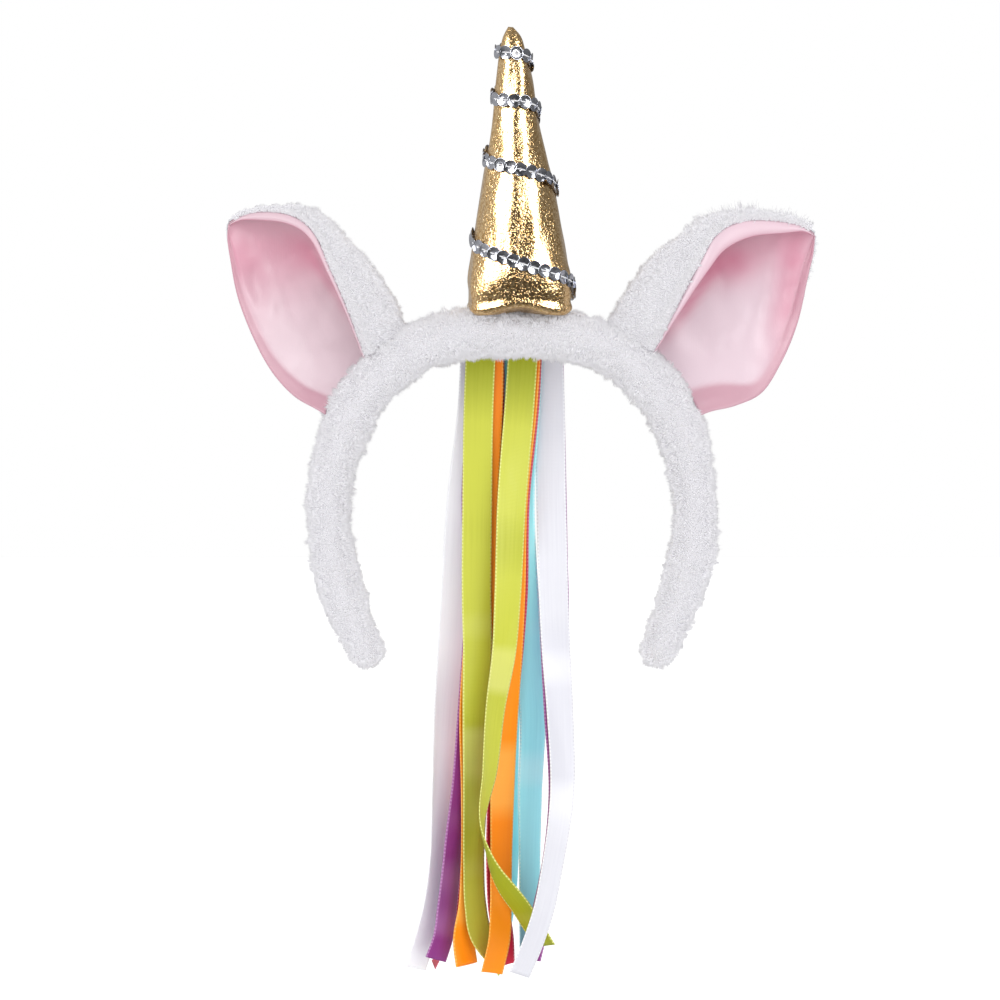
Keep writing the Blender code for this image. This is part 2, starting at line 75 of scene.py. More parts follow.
# The horn's outline at a height above the band. Square is how far the section's four corners
# stand out, and lean is the sideways place of its centre.
HornSection = namedtuple("HornSection", "height half_width half_depth lean square")
HORN_SECTIONS = (
    HornSection(-6.0, 15.5, 10.0, 3.2, 0.06),
    HornSection(0.0, 17.0, 12.0, 3.2, 0.06),
    HornSection(4.0, 19.6, 15.5, 3.2, 0.06),
    HornSection(11.0, 20.6, 17.5, 3.2, 0.055),
    HornSection(24.0, 19.1, 17.0, 3.0, 0.04),
    HornSection(44.0, 15.9, 15.0, 2.6, 0.03),
    HornSection(58.0, 13.4, 13.0, 2.2, 0.02),
    HornSection(70.0, 10.7, 10.6, 1.7, 0.01),
    HornSection(82.0, 8.6, 8.6, 1.3, 0.0),
    HornSection(95.0, 7.1, 7.1, 0.9, 0.0),
    HornSection(106.0, 5.2, 5.2, 0.2, 0.0),
    HornSection(112.0, 3.4, 3.4, -0.2, 0.0),
    HornSection(115.5, 1.3, 1.3, -0.5, 0.0),
)
HORN_FOOT_Z = 17.0

# The sequin string goes round the horn from the tip down. Turn 0 is at the left of the front
# view, 0.25 at the front and 0.5 at the right.
Winding = namedtuple("Winding", "turn height")
WINDINGS = (
    Winding(-0.15, 107.0),
    Winding(0.0, 105.6),
    Winding(0.5, 102.0),
    Winding(1.0, 87.5),
    Winding(1.5, 82.0),
    Winding(2.0, 63.5),
    Winding(2.5, 51.5),
    Winding(3.0, 31.0),
    Winding(3.5, 11.0),
    Winding(3.62, 8.5),
)

# An ear is a bent leaf between an upper and a lower rim, opening forwards. "along" runs from the
# root to the tip and "across" from the upper rim to the lower one, both in the front view, and
# "forward" is towards the front. Overhang is how far the cup bulges past its upper rim, and depth
# how far the cup goes back.
EarRow = namedtuple(
    "EarRow",
    "upper_along upper_across upper_forward lower_along lower_across lower_forward overhang depth",
)
RIGHT_EAR_ROWS = (
    EarRow(-9.0, -13.0, 3.0, -15.0, 12.0, 3.0, 12.0, 9.0),
    EarRow(3.6, -16.3, 6.0, -3.6, 16.3, 4.0, 13.0, 11.0),
    EarRow(23.0, -21.6, 8.5, 6.9, 23.0, 3.0, 12.0, 13.0),
    EarRow(39.7, -25.9, 9.0, 18.0, 27.4, 2.0, 7.0, 13.0),
    EarRow(52.0, -28.2, 8.0, 32.0, 25.0, 1.0, 2.0, 12.0),
    EarRow(63.0, -24.0, 5.5, 48.0, 19.0, 0.5, -0.5, 9.0),
    EarRow(73.0, -13.0, 3.0, 64.0, 9.8, 0.5, -1.0, 5.0),
    EarRow(79.5, -2.2, 1.0, 76.5, 3.0, 0.5, 0.0, 1.0),
)
LEFT_EAR_ROWS = (
    EarRow(-9.0, -11.0, 3.0, -15.0, 10.0, 3.0, 11.0, 9.0),
    EarRow(4.7, -14.1, 5.0, -4.7, 14.1, 4.0, 11.5, 11.0),
    EarRow(21.2, -18.5, 7.0, 6.0, 19.0, 3.0, 10.5, 12.0),
    EarRow(38.2, -22.2, 8.0, 19.4, 20.5, 2.0, 6.5, 12.0),
    EarRow(54.0, -25.0, 7.0, 35.0, 18.6, 1.0, 2.0, 11.0),
    EarRow(65.0, -21.5, 4.5, 51.0, 14.4, 0.5, -0.5, 8.0),
    EarRow(73.5, -12.0, 2.5, 66.0, 7.6, 0.5, -1.0, 4.5),
    EarRow(77.5, -2.2, 1.0, 75.5, 2.6, 0.5, 0.0, 1.0),
)
# Where an ear's root lies on the band, and how steeply the ear rises from it.
EarPlace = namedtuple("EarPlace", "side root_x root_z rise_deg rows")
EARS = {
    "right": EarPlace(1, 67.6, -8.4, 47.6, RIGHT_EAR_ROWS),
    "left": EarPlace(-1, 68.4, -8.8, 54.7, LEFT_EAR_ROWS),
}

# A ribbon's middle at a height: how far right of the middle it lies, how far back, and how far
# it has turned about its length.
Hang = namedtuple("Hang", "height side back turn_deg")
RIBBONS = {
    "green_ribbon_left": (
        Hang(10, -12.2, 14.65, 0),
        Hang(-17, -13.4, 14.4, 0),
        Hang(-57, -14, 14.6, 0),
        Hang(-97, -14.2, 15, 8),
        Hang(-117, -13.8, 15.3, 15),
        Hang(-141, -14.3, 16, 26),
        Hang(-177, -14.9, 17, 38),
        Hang(-205, -15.6, 18, 46),
        Hang(-221, -15, 19, 45),
        Hang(-233, -12.6, 20.6, 42),
        Hang(-246, -2.8, 27, 40),
    ),
    "green_ribbon_right": (
        Hang(10, 5, 14.65, 0),
        Hang(-17, 3.2, 13.8, 0),
        Hang(-57, 0, 10.4, 16),
        Hang(-97, -1.8, 8.8, 30),
        Hang(-117, -3.2, 8.2, 38),
        Hang(-141, -7, 7.4, 50),
        Hang(-165, -9.2, 6.6, 60),
        Hang(-189, -12, 6.4, 85),
        Hang(-205, -7, 6.2, 112),
        Hang(-213, -2.2, 7.8, 128),
        Hang(-221, 3.6, 10.4, 132),
        Hang(-229, 8.5, 14.4, 132),
        Hang(-237, 13.5, 17, 130),
    ),
    "orange_ribbon_left": (
        Hang(10, -9.4, 16.05, 0),
        Hang(-17, -9.6, 16, 0),
        Hang(-57, -11.8, 16.3, 0),
        Hang(-97, -12.6, 17, 8),
        Hang(-117, -14, 17.6, 15),
        Hang(-141, -15.8, 18, 26),
        Hang(-177, -15.8, 18.8, 38),
        Hang(-205, -16.4, 19.7, 46),
        Hang(-221, -17.2, 19.8, 46),
        Hang(-235, -19.2, 19.7, 45),
        Hang(-245, -18, 19.7, 45),
    ),
    "orange_ribbon_right": (
        Hang(10, 6.2, 16.05, 0),
        Hang(-17, 4.4, 15.3, 0),
        Hang(-57, 0.4, 14.2, 0),
        Hang(-97, -0.6, 14.6, 8),
        Hang(-117, -1.4, 15, 15),
        Hang(-141, -2.5, 15.6, 26),
        Hang(-177, -3.8, 16.6, 38),
        Hang(-205, -4.4, 17, 46),
        Hang(-221, -4.6, 17, 46),
        Hang(-235, -5.4, 17, 45),
        Hang(-248, -8.4, 17, 45),
    ),
    "magenta_ribbon_left": (
        Hang(10, -9, 18.85, 0),
        Hang(-17, -9, 18.9, 0),
        Hang(-57, -9.6, 19.6, 0),
        Hang(-97, -9.8, 21.2, 8),
        Hang(-117, -12, 22.6, 15),
        Hang(-141, -16.2, 23.6, 26),
        Hang(-177, -16.6, 26.5, 38),
        Hang(-191, -16.6, 29, 42),
        Hang(-205, -16.4, 31, 46),
        Hang(-221, -18.8, 33.5, 58),
        Hang(-235, -24, 35.5, 80),
        Hang(-247, -32, 36.5, 100),
    ),
    "magenta_ribbon_right": (
        Hang(10, 6.6, 17.45, 0),
        Hang(-17, 5.2, 16.9, 0),
        Hang(-57, 1.2, 16, 0),
        Hang(-97, 0.4, 16.6, 8),
        Hang(-117, -1, 17.1, 15),
        Hang(-141, -3, 17.7, 26),
        Hang(-177, -5.2, 18.4, 38),
        Hang(-205, -6.4, 18.8, 46),
        Hang(-221, -5.8, 19.2, 46),
        Hang(-235, -3.8, 21.4, 45),
        Hang(-246, -3.4, 23.8, 45),
    ),
    "teal_ribbon_left": (
        Hang(10, -6.8, 20.25, 0),
        Hang(-17, -6.8, 20.4, 0),
        Hang(-57, -6.6, 21.6, 0),
        Hang(-97, -5, 24.4, 8),
        Hang(-117, -3, 27.6, 15),
        Hang(-141, -2.1, 29, 26),
        Hang(-177, -1.8, 29.4, 38),
        Hang(-205, -1.2, 29.6, 46),
        Hang(-221, -2.6, 31.2, 46),
        Hang(-238, -5.8, 33.8, 45),
    ),
    "teal_ribbon_right": (
        Hang(10, 6.8, 18.85, 0),
        Hang(-17, 5.6, 18.5, 0),
        Hang(-57, 3.2, 17.8, 0),
        Hang(-97, 5, 19.2, 8),
        Hang(-117, 6.2, 22.6, 15),
        Hang(-141, 8.6, 25.8, 26),
        Hang(-177, 7.6, 26.4, 38),
        Hang(-205, 7.2, 26.6, 46),
        Hang(-225, 7.2, 28.2, 46),
        Hang(-243, 7.2, 29.6, 46),
    ),
    "purple_ribbon_left": (
        Hang(10, -12, 17.45, 0),
        Hang(-17, -12.6, 17.4, 0),
        Hang(-57, -14.4, 18, 0),
        Hang(-97, -13.2, 19, 8),
        Hang(-117, -14.4, 19.7, 15),
        Hang(-141, -16.4, 20.2, 26),
        Hang(-177, -19.8, 20.3, 40),
        Hang(-191, -22, 20.3, 47),
        Hang(-205, -24, 20.5, 54),
        Hang(-221, -25.8, 20.5, 51),
        Hang(-235, -27.8, 20.2, 48),
        Hang(-243, -30.6, 20, 45),
    ),
    "purple_ribbon_right": (
        Hang(10, 14.6, 21.65, 0),
        Hang(-17, 15.4, 21.8, 0),
        Hang(-57, 16.2, 20.4, 0),
        Hang(-77, 16.6, 18.6, 4),
        Hang(-97, 17.2, 17.4, 8),
        Hang(-117, 17.6, 17, 15),
        Hang(-141, 18.4, 16.4, 26),
        Hang(-177, 19.4, 15.4, 38),
        Hang(-205, 15.8, 16.2, 46),
        Hang(-221, 12.6, 21, 46),
        Hang(-233, 9.6, 25, 45),
        Hang(-244, 7, 26, 45),
    ),
    "white_ribbon_left": (
        Hang(10, -14.6, 21.65, 0),
        Hang(-17, -15.8, 21.9, 0),
        Hang(-57, -20.4, 23.2, 0),
        Hang(-97, -23, 25, 8),
        Hang(-117, -24.4, 25.4, 15),
        Hang(-141, -26.2, 25.4, 26),
        Hang(-177, -28, 25, 38),
        Hang(-205, -29.6, 24.6, 46),
        Hang(-221, -31.8, 24.4, 46),
        Hang(-235, -35.2, 24.2, 45),
        Hang(-247, -39.2, 24, 45),
    ),
    "white_ribbon_right": (
        Hang(10, 14.2, 20.25, 0),
        Hang(-17, 15.4, 20.2, 0),
        Hang(-40, 15.7, 19.9, 0),
        Hang(-57, 15.9, 18.6, 0),
        Hang(-77, 16.4, 16.8, 4),
        Hang(-97, 16.9, 15.4, 8),
        Hang(-117, 17.8, 15, 15),
        Hang(-141, 19.2, 13.6, 26),
        Hang(-177, 19.8, 10.8, 38),
        Hang(-205, 15.8, 7.4, 46),
        Hang(-221, 12.6, 4.2, 46),
        Hang(-235, 8, 2.4, 45),
        Hang(-247, 3, 2, 45),
    ),
}
RIBBON_WIDTH = 12.0
RIBBON_HALF = RIBBON_WIDTH / 2
RIBBON_HALF_WALL = 0.16
# How much painted shadow each face of a ribbon gets, from 0 to 1, where that isn't the usual amount.
BACK_PAINTED_SHADE = {"green_ribbon_right": 0.9, "white_ribbon_right": 0.85}
FRONT_PAINTED_SHADE = {"white_ribbon_right": 0.85}
STITCH_DROPS = (3.0, 6.0)
STITCH_PLACES = (-4.2, -1.4, 1.4, 4.2)

LINING_WALL = 0.6
BAND_HAIRS, BAND_HAIR_WIDTH = 88000, 0.45
EAR_HAIRS, EAR_HAIR_WIDTH = 27000, 0.46
RIM_HAIRS, FUZZ_HAIRS = 8000, 700
SEQUIN_PITCH, SEQUIN_SIDES, SEQUIN_TILT_DEG = 4.3, 24, 5
THREAD_RADIUS = 0.26

FLOOR_Z = -0.3
FLOOR_HALF = 15
CAMERA_PLACE = (-0.0048, -1.6, -0.0568)
CAMERA_LENS = 144

# Colours are linear. A satin ribbon has its own colour, a deeper one for painted shade at its top under
# the band and in its bends, and a light edge colour that also serves for painted highlights.
Satin = namedtuple("Satin", "colour deep edge")
SATINS = {
    "green": Satin((0.53, 0.555, 0.055), (0.30, 0.335, 0.006), (0.76, 0.76, 0.26)),
    "orange": Satin((0.96, 0.28, 0.001), (0.88, 0.18, 0.000), (0.98, 0.50, 0.10)),
    "magenta": Satin((0.58, 0.012, 0.048), (0.26, 0.006, 0.018), (0.72, 0.20, 0.26)),
    "teal": Satin((0.34, 0.82, 0.89), (0.16, 0.55, 0.63), (0.60, 0.86, 0.90)),
    "purple": Satin((0.26, 0.040, 0.24), (0.11, 0.012, 0.11), (0.50, 0.25, 0.50)),
    "white": Satin((0.84, 0.84, 0.87), (0.62, 0.62, 0.675), (0.84, 0.84, 0.87)),
}

# How each ear's lining lies from the band (far 0) to the tip (far 1): how wide its rim is rolled
# in and where the seam turns back, past which the lining gets painted shade. A shade is a soft patch
# of deeper colour: in an ear's look it is painted shade in a crease, a pocket or on a side that
# gets less light, and in CREASES it marks a crease pressed into the lining.
At = namedtuple("At", "far size")
Shade = namedtuple("Shade", "x z turn_deg half_length half_width size")
EarLook = namedtuple("EarLook", "colour roll seam shades")
# Each ear's colour is the satin's colour under the light; the left ear's is darker as painted shade,
# though both are the same satin.
EAR_LOOKS = {
    "right": EarLook(
        (0.63, 0.49, 0.55),
        (At(0, 0.3), At(0.15, 0.8), At(0.3, 3), At(0.5, 6), At(0.65, 7), At(0.85, 5), At(1, 0.5)),
        (At(0, 0.74), At(0.15, 0.80), At(0.35, 0.92), At(0.6, 0.90), At(0.8, 0.84), At(1, 0.7)),
        (
            Shade(87.5, 38.0, 15, 12.0, 8.0, 0.8),
            Shade(72.0, 23.5, 55, 19.0, 3.0, 0.8),
            Shade(102.0, 50.0, -8, 27.0, 13.0, 0.5),
            Shade(111.5, 25.0, 80, 28.0, 7.5, 0.75),
        ),
    ),
    "left": EarLook(
        (0.60, 0.455, 0.505),
        (At(0, 0.3), At(0.3, 1.4), At(0.6, 2.8), At(0.85, 3.6), At(1, 1.0)),
        (At(0, 0.80), At(0.2, 0.87), At(0.4, 0.91), At(0.7, 0.92), At(1, 0.9)),
        (
            Shade(-82.0, 42.0, -40, 9.0, 6.5, 0.42),
            Shade(-72.5, 29.0, -58, 14.0, 2.2, 0.5),
            Shade(-100.0, 44.0, -12, 27.0, 19.0, 0.62),
            Shade(-110.0, 36.0, -74, 24.0, 8.0, 0.28),
        ),
    ),
}
CREASES = {
    "right": (Shade(104.5, 30.0, 80, 20.0, 2.6, 0.9), Shade(91.0, 14.0, 62, 20.0, 2.6, 0.5)),
    "left": (Shade(-86.0, 22.0, -64, 20.0, 2.6, 0.6), Shade(-98.0, 30.0, -80, 20.0, 2.6, 0.5)),
}


def unit(vectors):
    return vectors / np.maximum(np.linalg.norm(vectors, axis=-1, keepdims=True), 1e-9)


def table_at(rows, key, values):
    """A table's rows, on a smooth curve through all of them, where the named column has values."""
    keys = np.array([getattr(row, key) for row in rows], float)
    order = np.argsort(keys)
    keys, table = keys[order], np.array(rows, float)[order]
    values = np.clip(np.atleast_1d(values), keys[0], keys[-1])
    slopes = np.gradient(table, keys, axis=0)
    i = np.clip(np.searchsorted(keys, values) - 1, 0, len(keys) - 2)
    span = (keys[i + 1] - keys[i])[:, None]
    t = (values - keys[i])[:, None] / span
    start = (1 + 2 * t) * (1 - t) ** 2 * table[i] + t * (1 - t) ** 2 * span * slopes[i]
    end = t * t * (3 - 2 * t) * table[i + 1] - t * t * (1 - t) * span * slopes[i + 1]
    return type(rows[0])(*(start + end).T)


def waves(points, size, seed, count=20):
    """Smooth noise of about -1 to 1 whose bumps are about size apart."""
    chance = np.random.default_rng(seed)
    ways = unit(chance.normal(size=(count, 3))) * (2 * math.pi / size)
    ways *= chance.uniform(0.65, 1.5, (count, 1))
    phase = chance.uniform(0, 2 * math.pi, count)
    return np.sin(points @ ways.T + phase).sum(-1) / math.sqrt(count)


def smooth_step(low, high, values):
    t = np.clip((values - low) / (high - low), 0, 1)
    return t * t * (3 - 2 * t)


def grid_quads(rows, columns, closed=False):
    """Corner numbers of a grid's faces. A closed grid joins its last column to its first."""
    i, j = np.meshgrid(np.arange(rows - 1), np.arange(columns - (not closed)), indexing="ij")
    a, b = i * columns + j, i * columns + (j + 1) % columns
    return np.stack((a, b, b + columns, a + columns), -1).reshape(-1, 4)


def corner_normals(points, quads):
    """A smooth normal at each point of a mesh of quads."""
    a, b, c, d = (points[quads[:, k]] for k in range(4))
    flat = np.cross(c - a, d - b)
    total = np.zeros_like(points)
    for k in range(4):
        np.add.at(total, quads[:, k], flat)
    return unit(total)


def new_mesh(name, points, *groups):
    """A mesh from points in millimetres and groups of faces that have the same number of corners."""
    mesh = bpy.data.meshes.new(name)
    corners = np.concatenate([faces.ravel() for faces in groups]).astype(np.int32)
    sizes = np.concatenate([np.full(len(faces), faces.shape[1]) for faces in groups])
    starts = np.concatenate(([0], np.cumsum(sizes)[:-1])).astype(np.int32)
    mesh.vertices.add(len(points))
    mesh.vertices.foreach_set("co", (points * MM).astype(np.float32).ravel())
    mesh.loops.add(len(corners))
    mesh.loops.foreach_set("vertex_index", corners)
    mesh.polygons.add(len(sizes))
    mesh.polygons.foreach_set("loop_start", starts)
    mesh.update(calc_edges=True)
    mesh.shade_smooth()
    return mesh


def add_piece(name, mesh, material, nodes=()):
    piece = bpy.data.objects.new(name, mesh)
    bpy.context.scene.collection.objects.link(piece)
    mesh.materials.append(material)
    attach(piece, "root")
    if nodes:
        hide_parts(*nodes)
    return piece


def set_values(mesh, name, values):
    """A number at each point of a mesh, which its material reads."""
    layer = mesh.attributes.new(name, "FLOAT", "POINT")
    layer.data.foreach_set("value", values.astype(np.float32))


def set_flat(mesh, across, along):
    """Texture coordinates in millimetres, across and along a strip."""
    corners = np.zeros(len(mesh.loops), np.int32)
    mesh.loops.foreach_get("vertex_index", corners)
    flat = np.stack((across, along), -1)[corners]
    mesh.uv_layers.new(name="flat").data.foreach_set("uv", flat.astype(np.float32).ravel())


class Nodes:
    """A material's node tree, written one node at a time."""

    def __init__(self, name):
        self.material = bpy.data.materials.new(name)
        self.material.use_nodes = True
        self.tree = self.material.node_tree
        self.shader = self.tree.nodes["Principled BSDF"]

    def add(self, kind, inputs=None, **settings):
        node = self.tree.nodes.new(kind)
        for key, value in settings.items():
            setattr(node, key, value)
        for key, value in (inputs or {}).items():
            self.feed(node, key, value)
        return node

    def feed(self, node, key, value):
        """Sets a socket, or joins it to another node's socket."""
        if isinstance(value, bpy.types.NodeSocket):
            self.tree.links.new(value, node.inputs[key])
        else:
            node.inputs[key].default_value = value

    def set(self, **inputs):
        for key, value in inputs.items():
            self.feed(self.shader, key.replace("_", " "), value)

    def place(self):
        return self.add("ShaderNodeTexCoord").outputs["Object"]

    def noise(self, size, detail=3, roughness=0.55, place=None, stretch=None):
        """Noise whose grain is about size millimetres, from 0 to 1."""
        place = place or self.place()
        if stretch:
            mapping = self.add("ShaderNodeMapping", {"Vector": place, "Scale": stretch})
            place = mapping.outputs[0]
        inputs = {"Vector": place, "Scale": 1000 / size, "Detail": detail, "Roughness": roughness}
        return self.add("ShaderNodeTexNoise", inputs).outputs["Fac"]

    def value(self, name):
        return self.add("ShaderNodeAttribute", attribute_name=name).outputs["Fac"]

    def math(self, operation, *values, clamp=False):
        node = self.add("ShaderNodeMath", operation=operation, use_clamp=clamp)
        for i, value in enumerate(values):
            self.feed(node, i, value)
        return node.outputs[0]

    def remap(self, value, low, high, new_low=0.0, new_high=1.0):
        inputs = {0: value, 1: low, 2: high, 3: new_low, 4: new_high}
        return self.add("ShaderNodeMapRange", inputs).outputs[0]

    def mix(self, share, first, second):
        node = self.add("ShaderNodeMix", data_type="RGBA")
        for key, value in ((0, share), (6, first), (7, second)):
            if isinstance(value, tuple):
                value = (*value, 1)
            self.feed(node, key, value)
        return node.outputs[2]

    def bump(self, height, distance_mm, strength=1.0, normal=None):
        inputs = {"Height": height, "Distance": distance_mm * MM, "Strength": strength}
        if normal:
            inputs["Normal"] = normal
        return self.add("ShaderNodeBump", inputs).outputs[0]


def plush_material(name, dark, light):
    """White pile: each hair is greyer at its root, as painted shade deep in the pile, and tufts differ a
    little at random.
    """
    n = Nodes(name)
    tuft = n.remap(n.noise(7.0), 0.3, 0.7)
    tone = n.math("MULTIPLY", n.value("tip"), n.remap(tuft, 0, 1, 0.8, 1.0))
    n.set(Base_Color=n.mix(tone, dark, light))
    n.set(Roughness=1.0, Specular_IOR_Level=0.0, IOR=1.0)
    return n.material


def gold_material():
    """Foil fabric: a bright metal skin over a fine crinkled ground."""
    n = Nodes("gold foil fabric")
    other = n.add("ShaderNodeMapping", {0: n.place(), 1: (0.3, 0.2, 0.1)}).outputs[0]
    grain = n.noise(0.8, detail=1, roughness=0.6)
    crease = n.noise(4.0, detail=2, stretch=(1.0, 1.0, 0.45))
    speck = n.remap(n.noise(1.1, detail=2, roughness=0.7), 0.36, 0.62)
    flake = n.remap(n.noise(0.9, detail=0), 0.54, 0.62)
    pit = n.remap(n.noise(0.8, detail=0, place=other), 0.41, 0.34)
    n.set(Base_Color=n.mix(speck, (0.60, 0.365, 0.14), (0.94, 0.68, 0.37)))
    n.set(Metallic=1.0, Roughness=n.remap(grain, 0.3, 0.7, 0.13, 0.24))
    rough = n.bump(grain, 0.11, 1.0, n.bump(crease, 0.12, 0.3))
    n.set(Normal=n.bump(pit, 0.036, 1.0, n.bump(flake, 0.040, 1.0, rough)))
    return n.material


def sequin_material():
    n = Nodes("silver film")
    scuff = n.noise(1.1, detail=3)
    n.set(Base_Color=n.mix(scuff, (0.30, 0.31, 0.35), (0.66, 0.67, 0.72)))
    n.set(Metallic=1.0, Roughness=n.remap(scuff, 0.3, 0.7, 0.12, 0.26))
    n.set(Normal=n.bump(n.noise(2.2, detail=2), 0.10, 0.8))
    return n.material


def pink_material(name, light):
    """Satin lining with a fine weave. It is deepened with painted shade where the lining is in a pocket,
    a crease or curled under, and darkened with painted shade past the seam along the lower rim.
    """
    n = Nodes(f"{name} pink satin")
    cloud = n.remap(n.noise(16.0, detail=2), 0.3, 0.7)
    deep = n.math("MULTIPLY", n.value("tuck"), n.remap(cloud, 0, 1, 0.8, 1.0))
    face = n.mix(deep, light, (0.56, 0.17, 0.265))
    # Painted shade past the seam, where the lining turns back along the lower rim.
    n.set(Base_Color=n.mix(n.value("turned"), face, (0.50, 0.245, 0.31)))
    weave = n.add("ShaderNodeTexWave", {"Vector": n.place(), "Scale": 1000 / 2.2, "Distortion": 1.0})
    n.set(Roughness=n.remap(cloud, 0, 1, 0.42, 0.55), Sheen_Weight=0.1, Sheen_Roughness=0.35)
    n.set(Normal=n.bump(weave.outputs["Fac"], 0.02, 0.4, n.bump(n.noise(6.0), 0.3, 0.35)))
    return n.material


def ribbon_material(name, satin):
    """Satin with fine ribs across it and a lighter woven edge. It is darkened with painted shade near its
    top and in its bends, and lightened with painted highlight bands lower down.
    """
    n = Nodes(f"{name} satin")
    flat = n.add("ShaderNodeUVMap", uv_map="flat").outputs[0]
    parts = n.add("ShaderNodeSeparateXYZ", {0: flat})
    rib = n.math("SINE", n.math("MULTIPLY", parts.outputs["Y"], 2 * math.pi / 0.55))
    streak = n.noise(1000, detail=3, place=flat, stretch=(1.1, 0.02, 1.0))
    # Painted shade, with a little random streaking along the ribbon.
    tone = n.math("ADD", n.value("painted_shade"), n.remap(streak, 0.3, 0.7, -0.10, 0.10), clamp=True)
    body = n.mix(tone, satin.colour, satin.deep)
    # Painted highlight bands, in the light edge colour.
    body = n.mix(n.math("MULTIPLY", n.value("painted_gleam"), 0.5), body, satin.edge)
    edge = n.remap(n.math("ABSOLUTE", parts.outputs["X"]), 5.3, 5.6)
    stitch = n.math("SINE", n.math("MULTIPLY", parts.outputs["Y"], 2 * math.pi / 1.5))
    woven = n.math("MULTIPLY", edge, n.remap(stitch, -0.4, 0.5, 0.25, 0.85))
    n.set(Base_Color=n.mix(woven, body, satin.edge))
    n.set(Roughness=n.remap(streak, 0.3, 0.7, 0.30, 0.42), Sheen_Weight=0.05)
    n.set(Anisotropic=0.5, Specular_IOR_Level=0.25)
    n.set(Normal=n.bump(rib, 0.02, 0.35, n.bump(streak, 0.05, 0.3)))
    return n.material


def thread_material():
    n = Nodes("sewing thread")
    n.set(Base_Color=n.mix(n.noise(0.8), (0.62, 0.62, 0.64), (0.82, 0.82, 0.84)), Roughness=0.6)
    return n.material


def band_line(distance):
    """Places and outward normals of the band's centreline, at distances from the crown."""
    side, left = np.sign(distance), np.abs(distance)
    x, z = np.zeros_like(left), np.full_like(left, CROWN_Z)
    heading = np.zeros_like(left)
    for arc in BAND_ARCS:
        radius = arc.length / math.radians(arc.turn_deg)
        turned = heading + np.clip(left, 0, arc.length) / radius
        x = x + radius * (np.sin(turned) - np.sin(heading))
        z = z + radius * (np.cos(turned) - np.cos(heading))
        left = left - np.clip(left, 0, arc.length)
        heading = turned
    still = np.zeros_like(x)
    normal = np.stack((side * np.sin(heading), still, np.cos(heading)), -1)
    return np.stack((side * x, still, z), -1), normal


def band_depth(points):
    """How far out points lie in the band's section: under 1 is inside the band."""
    distance = np.linspace(-BAND_REACH, BAND_REACH, 700)
    centre, normal = band_line(distance)
    section = table_at(BAND_SECTIONS, "distance", np.abs(distance))
    gap = points[:, None, (0, 2)] - centre[None, :, (0, 2)]
    near = np.argmin((gap**2).sum(-1), 1)
    out = ((points - centre[near]) * normal[near]).sum(-1)
    return np.hypot(out / (section.thickness[near] / 2), points[:, 1] / (section.width[near] / 2))


def band_surface(shrink, sides, sections=300):
    """The padded band with round ends, its surface pulled in by shrink."""
    end = BAND_SECTIONS[-1].thickness / 2
    dome = np.radians(np.linspace(6, 84, 9))
    lift = np.concatenate((-dome[::-1], np.zeros(sections), dome))
    distance = np.pad(np.linspace(-BAND_REACH, BAND_REACH, sections), len(dome), mode="edge")
    extra, scale = (end - shrink) * np.sin(lift), np.cos(lift)
    section = table_at(BAND_SECTIONS, "distance", np.abs(distance))
    centre, normal = band_line(distance)
    along = np.stack((normal[:, 2], 0 * extra, -normal[:, 0]), -1)
    centre = centre + along * extra[:, None]
    turn = np.linspace(0, 2 * math.pi, sides, endpoint=False)
    out = (section.thickness / 2 - shrink) * scale
    wide = (section.width / 2 - shrink) * scale
    points = centre[:, None] + normal[:, None] * out[:, None, None] * np.cos(turn)[None, :, None]
    points = (points + FRONT * (wide[:, None] * np.sin(turn))[:, :, None]).reshape(-1, 3)
    quads = grid_quads(len(distance), sides, closed=True)
    normals = corner_normals(points, quads)
    if np.mean(((points - np.repeat(centre, sides, 0)) * normals).sum(-1)) < 0:
        normals, quads = -normals, quads[:, ::-1]
    points = points + normals * (waves(points, 26, 1) * 0.5 + waves(points, 9, 2) * 0.3)[:, None]
    return points, quads, normals


def caps(points, rows, columns):
    """Triangles that close both ends of a closed grid, with a middle point for each."""
    first, last = np.arange(columns), (rows - 1) * columns + np.arange(columns)
    middle = np.stack((points[first].mean(0), points[last].mean(0)))
    a, b = len(points), len(points) + 1
    start = np.stack((np.roll(first, -1), first, np.full(columns, a)), -1)
    end = np.stack((last, np.roll(last, -1), np.full(columns, b)), -1)
    return np.concatenate((points, middle)), np.concatenate((start, end))


def scatter(points, quads, normals, count, chance):
    """Random places on a surface, with its normal there."""
    tris = np.concatenate((quads[:, :3], quads[:, (0, 2, 3)]))
    a, b, c = (points[tris[:, k]] for k in range(3))
    area = np.linalg.norm(np.cross(b - a, c - a), axis=1)
    pick = chance.choice(len(tris), count, p=area / area.sum())
    u, v = chance.random((2, count, 1))
    over = u + v > 1
    u, v = np.where(over, 1 - u, u), np.where(over, 1 - v, v)
    place = a[pick] + (b[pick] - a[pick]) * u + (c[pick] - a[pick]) * v
    first, second, third = (normals[tris[pick, k]] for k in range(3))
    return place, unit(first * (1 - u - v) + second * u + third * v)


